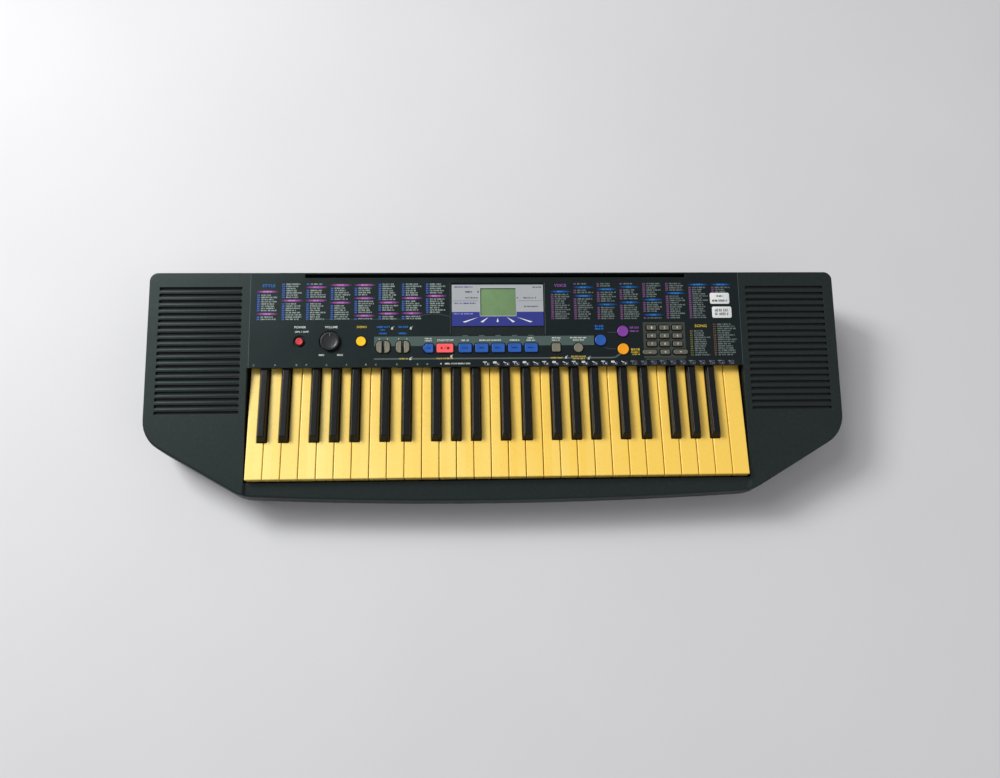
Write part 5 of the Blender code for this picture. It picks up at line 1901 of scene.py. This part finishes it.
@dataclass
class VolumeKnob:
    """The volume knob: ribbed edge, dished face, raised ring and a pointer line.

    The face's points are their inset from the edge, their drop below the top and whether the ribs
    reach them.
    """

    radius: float = 13.25
    rise: float = 5.4
    foot: float = -1.2
    ribs: int = 60
    rib_depth: float = 0.35
    face: tuple[tuple[float, float, bool], ...] = (
        (0.0, 1.6, True), (0.25, 0.7, True), (0.8, 0.15, False), (1.5, 0.0, False),
        (2.4, 0.0, False), (3.0, 0.45, False), (5.5, 0.95, False), (12.25, 1.25, False),
    )
    pointer: tuple[float, float, float, float, float] = (0.0, 8.6, 1.1, 4.6, 0.5)
    pointer_levels: tuple[Point, ...] = ((0.0, 1.0), (0.0, 0.06), (-0.15, 0.01))

    def build(self) -> None:
        """Build the knob and its pointer."""
        plastic = Plastic("knob_plastic", tone(30, 32, 34), 0.34, depth=0.00002, edge=0.0002, cloud=0.15)
        place = PANEL.place @ Matrix.Translation((*KNOB_CENTRE, 0))
        form = Form(place)
        rings = [self.ring(self.radius, self.foot, True)]
        for inset, drop, ribbed in self.face:
            rings.append(self.ring(self.radius - inset, self.rise - drop, ribbed))
        form.loft(rings)
        item = form.piece("volume_knob_cap", "volume_knob", plastic.build(), "knob", 30.0)
        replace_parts(item, "volume_knob")
        form = Form(place)
        levels = [(grow, self.rise - drop) for grow, drop in self.pointer_levels]
        form.stack(partial(block, *self.pointer), levels)
        pointer = Plastic("knob_pointer", tone(96, 98, 98), roughness=0.4).build()
        form.piece("volume_pointer", "volume_knob", pointer, "knob")

    def ring(self, radius: float, height: float, ribbed: bool) -> list[Vector]:
        """One ring of the knob.

        Args:
            radius: Its radius.
            height: Its height above the panel.
            ribbed: Whether every second pair of points is drawn in between two ribs.

        Returns:
            The ring's points, four for each rib.
        """
        sides = self.ribs * 4
        points = []
        for number in range(sides):
            turn = math.tau * number / sides
            out = radius - (self.rib_depth if ribbed and number % 4 in (2, 3) else 0.0)
            points.append(Vector((out * math.cos(turn), out * math.sin(turn), height)))
        return points


@dataclass
class Grille:
    """The cloth and the rounded louvre bars of one loudspeaker opening."""

    side: int
    centre_x: float = 408.8
    centre_v: float = 25.4
    width: float = 112.4
    pitch: float = 9.1
    slot_width: float = 4.2
    slots: int = 20
    cloth_margin: float = 2.5
    cloth_levels: tuple[Point, ...] = ((0.0, -3.27), (0.0, -3.06))
    bar_overlap: float = 0.3
    bar_inset: float = 0.6
    bar_taper: Point = (1.6, 0.5)
    bar_foot: float = -1.4
    bar_rise: float = 1.75
    bar_sides: int = 8

    def build(self, cloth: bpy.types.Material, bars: bpy.types.Material) -> None:
        """Build the cloth under the slots and the curved bars between them.

        Args:
            cloth: The cloth's finish.
            bars: The bars' finish.
        """
        word = "right" if self.side > 0 else "left"
        x = self.side * self.centre_x
        form = Form(PANEL.place)
        width, height = self.width + 2 * self.cloth_margin, self.slots * self.pitch + 2.0
        form.stack(partial(block, x, self.centre_v, width, height, 2.0), self.cloth_levels)
        form.piece(f"speaker_cloth_{word}", "case", cloth, "speaker", 30.0)
        form = Form(PANEL.place)
        for number in range(self.slots - 1):
            middle = self.centre_v + (number - (self.slots - 2) / 2) * self.pitch
            form.loft(self.bar(x, middle))
        form.piece(f"speaker_bars_{word}", "case", bars, "case", 60.0)

    def bar(self, x: float, middle: float) -> list[list[Vector]]:
        """One bar with a rounded back that covers the case's own bar.

        Args:
            x: Middle of the grille.
            middle: Middle of the bar up the slope.

        Returns:
            The bar's rings, from its left end to its right.
        """
        across = (self.pitch - self.slot_width) / 2 + self.bar_overlap
        reach = self.width / 2 - self.bar_inset
        taper, drop = self.bar_taper
        turns = [math.pi * number / self.bar_sides for number in range(self.bar_sides + 1)]
        rings = []
        for end, lower in ((-reach, drop), (-reach + taper, 0.0), (reach - taper, 0.0), (reach, drop)):
            heights = [self.bar_foot + self.bar_rise * math.sin(turn) - lower for turn in turns]
            places = [middle - across * math.cos(turn) for turn in turns]
            rings.append([Vector((x + end, place, height)) for place, height in zip(places, heights)])
        return rings


@dataclass
class Underside:
    """Feet pads, screws and the battery door's ribs under the keyboard.

    A profile is pairs of radius and height, from the lowest point up.
    """

    feet: tuple[Point, ...] = ((430.0, 127.5), (-430.0, 127.5), (320.0, -131.5), (-320.0, -131.5))
    screws: tuple[Point, ...] = (
        (-440.0, 60.0), (-440.0, -20.0), (440.0, 60.0), (440.0, -20.0), (-330.0, 60.0), (330.0, 60.0),
        (-260.0, -110.0), (-130.0, -120.0), (0.0, -122.0), (130.0, -120.0), (260.0, -110.0),
        (-230.0, 110.0), (230.0, 110.0),
    )
    pad_sides: tuple[Point, ...] = ((7.9, 0.6), (8.15, 1.4), (8.15, 3.6))
    well: tuple[Point, ...] = ((3.0, 3.9), (3.1, 3.62), (3.9, 3.62), (4.2, 3.7), (4.2, 3.97))
    head: tuple[Point, ...] = ((0.6, 3.45), (2.2, 3.5), (2.9, 3.8), (2.9, 3.98))
    screw_sides: int = 32
    rib_count: int = 6
    rib_pitch: float = 1.9
    rib_x: float = -90.0
    rib_size: Point = (15.0, 0.9)
    rib_inset: float = 6.0
    rib_levels: tuple[Point, ...] = ((-0.2, 0.02), (0.0, 0.2), (0.0, 0.5))
    field_size: Point = (330.0, 26.0)
    field_levels: tuple[Point, ...] = ((-0.2, 0.03), (0.0, 0.12), (0.0, 0.5))

    def build(self) -> None:
        """Build the pieces under the case."""
        rubber = Plastic("foot_rubber", tone(24, 24, 25), roughness=0.8, grain=500.0, depth=0.0001)
        steel = Plated("screw_steel", tone(120, 122, 126), roughness=0.35)
        # Painted shade: the screw wells' lining is darker than the case plastic
        dark = Plastic("screw_well", tone(12, 12, 13), roughness=0.7)
        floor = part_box("lower_case")[0].z / MM
        sole = ((5.2, floor + 0.3), (5.6, floor + 0.02), (7.3, floor + 0.02))
        pads, wells, heads = Form(), Form(), Form()
        for foot in self.feet:
            pads.turn(foot, (*sole, *self.pad_sides))
        for screw in self.screws:
            wells.turn(screw, self.well, self.screw_sides, OPEN)
            heads.turn(screw, self.head, self.screw_sides)
        pads.piece("foot_pads", "case", rubber.build(), "case")
        wells.piece("screw_wells_painted_shade", "case", dark.build(), "case")
        heads.piece("screw_heads", "case", steel.build(), "case")
        self.door()

    def door(self) -> None:
        """Build the finger ribs and the raised field on the battery door."""
        low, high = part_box("battery_door")
        foot, rear, middle = low.z / MM, high.y / MM - self.rib_inset, (low.y + high.y) / 2 / MM
        outlines = [
            (partial(block, self.rib_x, rear - number * self.rib_pitch, *self.rib_size, 0.4), self.rib_levels)
            for number in range(self.rib_count)
        ]
        outlines.append((partial(block, 0.0, middle, *self.field_size, 2.0), self.field_levels))
        form = Form()
        for outline, levels in outlines:
            form.stack(outline, [(grow, foot + height) for grow, height in levels])
        plastic = Plastic("door_plastic", tone(28, 31, 32), roughness=0.5).build()
        form.piece("door_ribs", "battery_door", plastic, "case")


@dataclass
class RearJacks:
    """The plated rings and labels of the two jacks on the rear wall."""

    labels: tuple[tuple[str, float, float], ...] = (("DC IN", -310.0, 11.0), ("PHONES", -286.0, 14.0))
    label_rise: float = 7.0
    label_height: float = 2.4
    wall_y: float = 157.5
    height: float = 89.21
    ring: tuple[Point, ...] = ((4.35, -3.0), (4.35, -2.2), (4.1, -1.9), (3.5, -1.9), (3.5, -3.0))
    ring_sides: int = 40

    def build(self) -> None:
        """Build the rings round the bores and their labels."""
        steel = Plated("jack_plating", tone(176, 178, 182), depth=0.00001, cloud=0.08, metallic=0.95).build()
        turn = Matrix.Translation((0, self.wall_y, self.height)) @ Matrix.Rotation(-math.pi / 2, 4, "X")
        ink = Print(Ink.WHITE, INK_LIFT, turn @ Matrix.Rotation(math.pi, 4, "Z"))
        for number, (words, x, width) in enumerate(self.labels, 1):
            form = Form(turn)
            form.turn((x, 0.0), self.ring, self.ring_sides, OPEN)
            form.piece(f"jack_ring_{number}", "case", steel, "frame")
            ink.text(words, -x, self.label_rise, self.label_height, width)
        ink.piece("jack_labels")


def paint(item: bpy.types.Object, material: bpy.types.Material) -> None:
    """Put one finish on every material slot of a CAD node."""
    item.data.materials.clear()
    item.data.materials.append(material)


@dataclass
class Keys:
    """The white and black keys: CAD nodes with rounded edges and their own finishes."""

    edge: float = 0.45
    edge_steps: int = 2
    edge_angle: float = math.radians(35.0)
    weld: float = 0.01

    def build(self) -> None:
        """Dress every key."""
        white = WhiteKeyFinish("key_white_aged").build()
        black = BlackKeyFinish("key_black_gloss").build()
        for name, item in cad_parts.items():
            if name.startswith("white_key"):
                self.dress(item, white)
            elif name.startswith("black_key"):
                self.dress(item, black)
        LOG.info("keys dressed")

    def dress(self, item: bpy.types.Object, material: bpy.types.Material) -> None:
        """Give one key its finish and rounded edges.

        Args:
            item: The key's CAD node.
            material: Its finish.
        """
        paint(item, material)
        item.modifiers.new("weld", "WELD").merge_threshold = self.weld * MM
        bevel = item.modifiers.new("edges", "BEVEL")
        bevel.width, bevel.segments = self.edge * MM, self.edge_steps
        bevel.limit_method, bevel.angle_limit = "ANGLE", self.edge_angle


class Shell:
    """The case halves, the frame under the keys, the board and the speakers, as CAD nodes."""

    def build(self) -> None:
        """Dress the nodes that stay as they are, and build the grilles in the case's finish."""
        case = CaseFinish("case_plastic", tone(19, 25, 24), edge=0.0011).build()
        base = Plastic("base_plastic", tone(30, 35, 35), roughness=0.5, depth=0.00005, edge=0.0008)
        inner = Plastic("frame_plastic", tone(70, 68, 62), roughness=0.55, grain=700.0, depth=0.00004)
        door = Plastic("battery_door_plastic", tone(32, 36, 36), roughness=0.5, depth=0.00005)
        cone = ConeFinish("speaker_paper").build()
        for name, material in (
            ("upper_case", case),
            ("lower_case", base.build()),
            ("key_frame", inner.build()),
            ("battery_door", door.build()),
            ("speaker_left", cone),
            ("speaker_right", cone),
            ("display_board", CircuitFinish("board_green").build()),
        ):
            paint(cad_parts[name], material)
        cloth = ClothFinish("speaker_cloth").build()
        for side in (-1, 1):
            Grille(side).build(cloth, case)
        LOG.info("shell dressed")


@dataclass
class Studio:
    """The floor, the lamps, the background and the camera. Places are in metres."""

    camera_place: Triple = (-0.0539, -0.3511, 1.1982)
    camera_turns: Triple = (-17.09, -2.72, -0.46)
    lens: float = 30.6
    film_width: float = 36.0
    floor_reach: float = 6.0
    aim: Triple = (0.0, 0.0, 0.05)
    lamps: tuple[tuple[str, Triple, float, float], ...] = (
        ("key_lamp", (-1.5, 0.95, 1.75), 0.75, 37.0),
        ("side_lamp", (1.8, -1.2, 1.9), 1.6, 5.92),
    )
    day_power: float = 1.4
    day_width: float = math.radians(40.0)
    day_towards: Triple = (1.5, -0.95, -1.75)
    fill: Colour = tone(250, 250, 252)
    fill_strength: float = 0.3
    background: Colour = tone(204, 204, 207)

    def build(self) -> None:
        """Lay the floor, hang the lamps and set the camera."""
        self.lay_floor()
        self.hang_lamps()
        self.fill_room()
        self.set_camera()

    def lay_floor(self) -> None:
        """Lay a plain pale floor."""
        data = bpy.data.meshes.new("studio_floor")
        corners = [(across, along) for across, along in ((-1, -1), (1, -1), (1, 1), (-1, 1))]
        points = [(across * self.floor_reach, along * self.floor_reach, 0.0) for across, along in corners]
        data.from_pydata(points, [], [(0, 1, 2, 3)])
        data.materials.append(GroundFinish("studio_floor").build())
        item = bpy.data.objects.new("studio_floor", data)
        bpy.context.scene.collection.objects.link(item)

    def hang(self, light: bpy.types.Light, place: Triple, towards: Vector) -> None:
        """Hang one lamp.

        Args:
            light: The lamp.
            place: Where it hangs.
            towards: The direction in which it shines.
        """
        item = bpy.data.objects.new(light.name, light)
        item.location = place
        item.rotation_euler = towards.to_track_quat("-Z", "Y").to_euler()
        bpy.context.scene.collection.objects.link(item)

    def hang_lamps(self) -> None:
        """Hang a large soft lamp on the upper left, a weak one on the right and a wide soft sun."""
        for name, place, size, power in self.lamps:
            light = bpy.data.lights.new(name, "AREA")
            light.size, light.energy = size, power
            self.hang(light, place, Vector(self.aim) - Vector(place))
        day = bpy.data.lights.new("day_lamp", "SUN")
        day.energy, day.angle = self.day_power, self.day_width
        self.hang(day, (0.0, 0.0, 0.0), Vector(self.day_towards))

    def fill_room(self) -> None:
        """Fill the room with even pale light, behind which camera, gloss and glass see the background."""
        world = bpy.data.worlds.new("studio_sky")
        bpy.context.scene.world = world
        world.use_nodes = True
        nodes, links = world.node_tree.nodes, world.node_tree.links
        nodes.clear()
        output = nodes.new("ShaderNodeOutputWorld")
        even, shown = nodes.new("ShaderNodeBackground"), nodes.new("ShaderNodeBackground")
        even.inputs[0].default_value = (*self.fill, 1.0)
        even.inputs[1].default_value = self.fill_strength
        shown.inputs[0].default_value = (*self.background, 1.0)
        mix, rays = nodes.new("ShaderNodeMixShader"), nodes.new("ShaderNodeLightPath")
        seen = rays.outputs["Is Camera Ray"]
        for kind in ("Is Glossy Ray", "Is Transmission Ray"):
            either = nodes.new("ShaderNodeMath")
            either.operation = "MAXIMUM"
            links.new(seen, either.inputs[0])
            links.new(rays.outputs[kind], either.inputs[1])
            seen = either.outputs[0]
        links.new(seen, mix.inputs[0])
        links.new(even.outputs[0], mix.inputs[1])
        links.new(shown.outputs[0], mix.inputs[2])
        links.new(mix.outputs[0], output.inputs[0])

    def set_camera(self) -> None:
        """Set the camera by its fitted place and turns, which are of a camera that looks down."""
        about_x, about_y, about_z = (math.radians(value) for value in self.camera_turns)
        turn = Matrix.Rotation(about_z, 3, "Z") @ Matrix.Rotation(about_y, 3, "Y")
        turn = turn @ Matrix.Rotation(about_x, 3, "X")
        right, down, forward = (Vector((row[0], -row[1], -row[2])) for row in turn)
        axes = Matrix((right, -down, -forward)).transposed()
        data = bpy.data.cameras.new("photo_camera")
        data.lens, data.sensor_width, data.sensor_fit = self.lens, self.film_width, "HORIZONTAL"
        item = bpy.data.objects.new("photo_camera", data)
        item.matrix_world = Matrix.Translation(self.camera_place) @ axes.to_4x4()
        bpy.context.scene.collection.objects.link(item)
        bpy.context.scene.camera = item


def main() -> None:
    """Build the dressed keyboard and its studio."""
    logging.basicConfig(level=logging.INFO, format="%(message)s")
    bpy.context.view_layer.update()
    Shell().build()
    Keys().build()
    ControlSet().build()
    NumberPad().build()
    VolumeKnob().build()
    Display().build()
    ListPrinting().build()
    PanelPrinting().build()
    Underside().build()
    RearJacks().build()
    Studio().build()
    bpy.context.scene.view_settings.view_transform = "Standard"


if __name__ == "__main__":
    main()
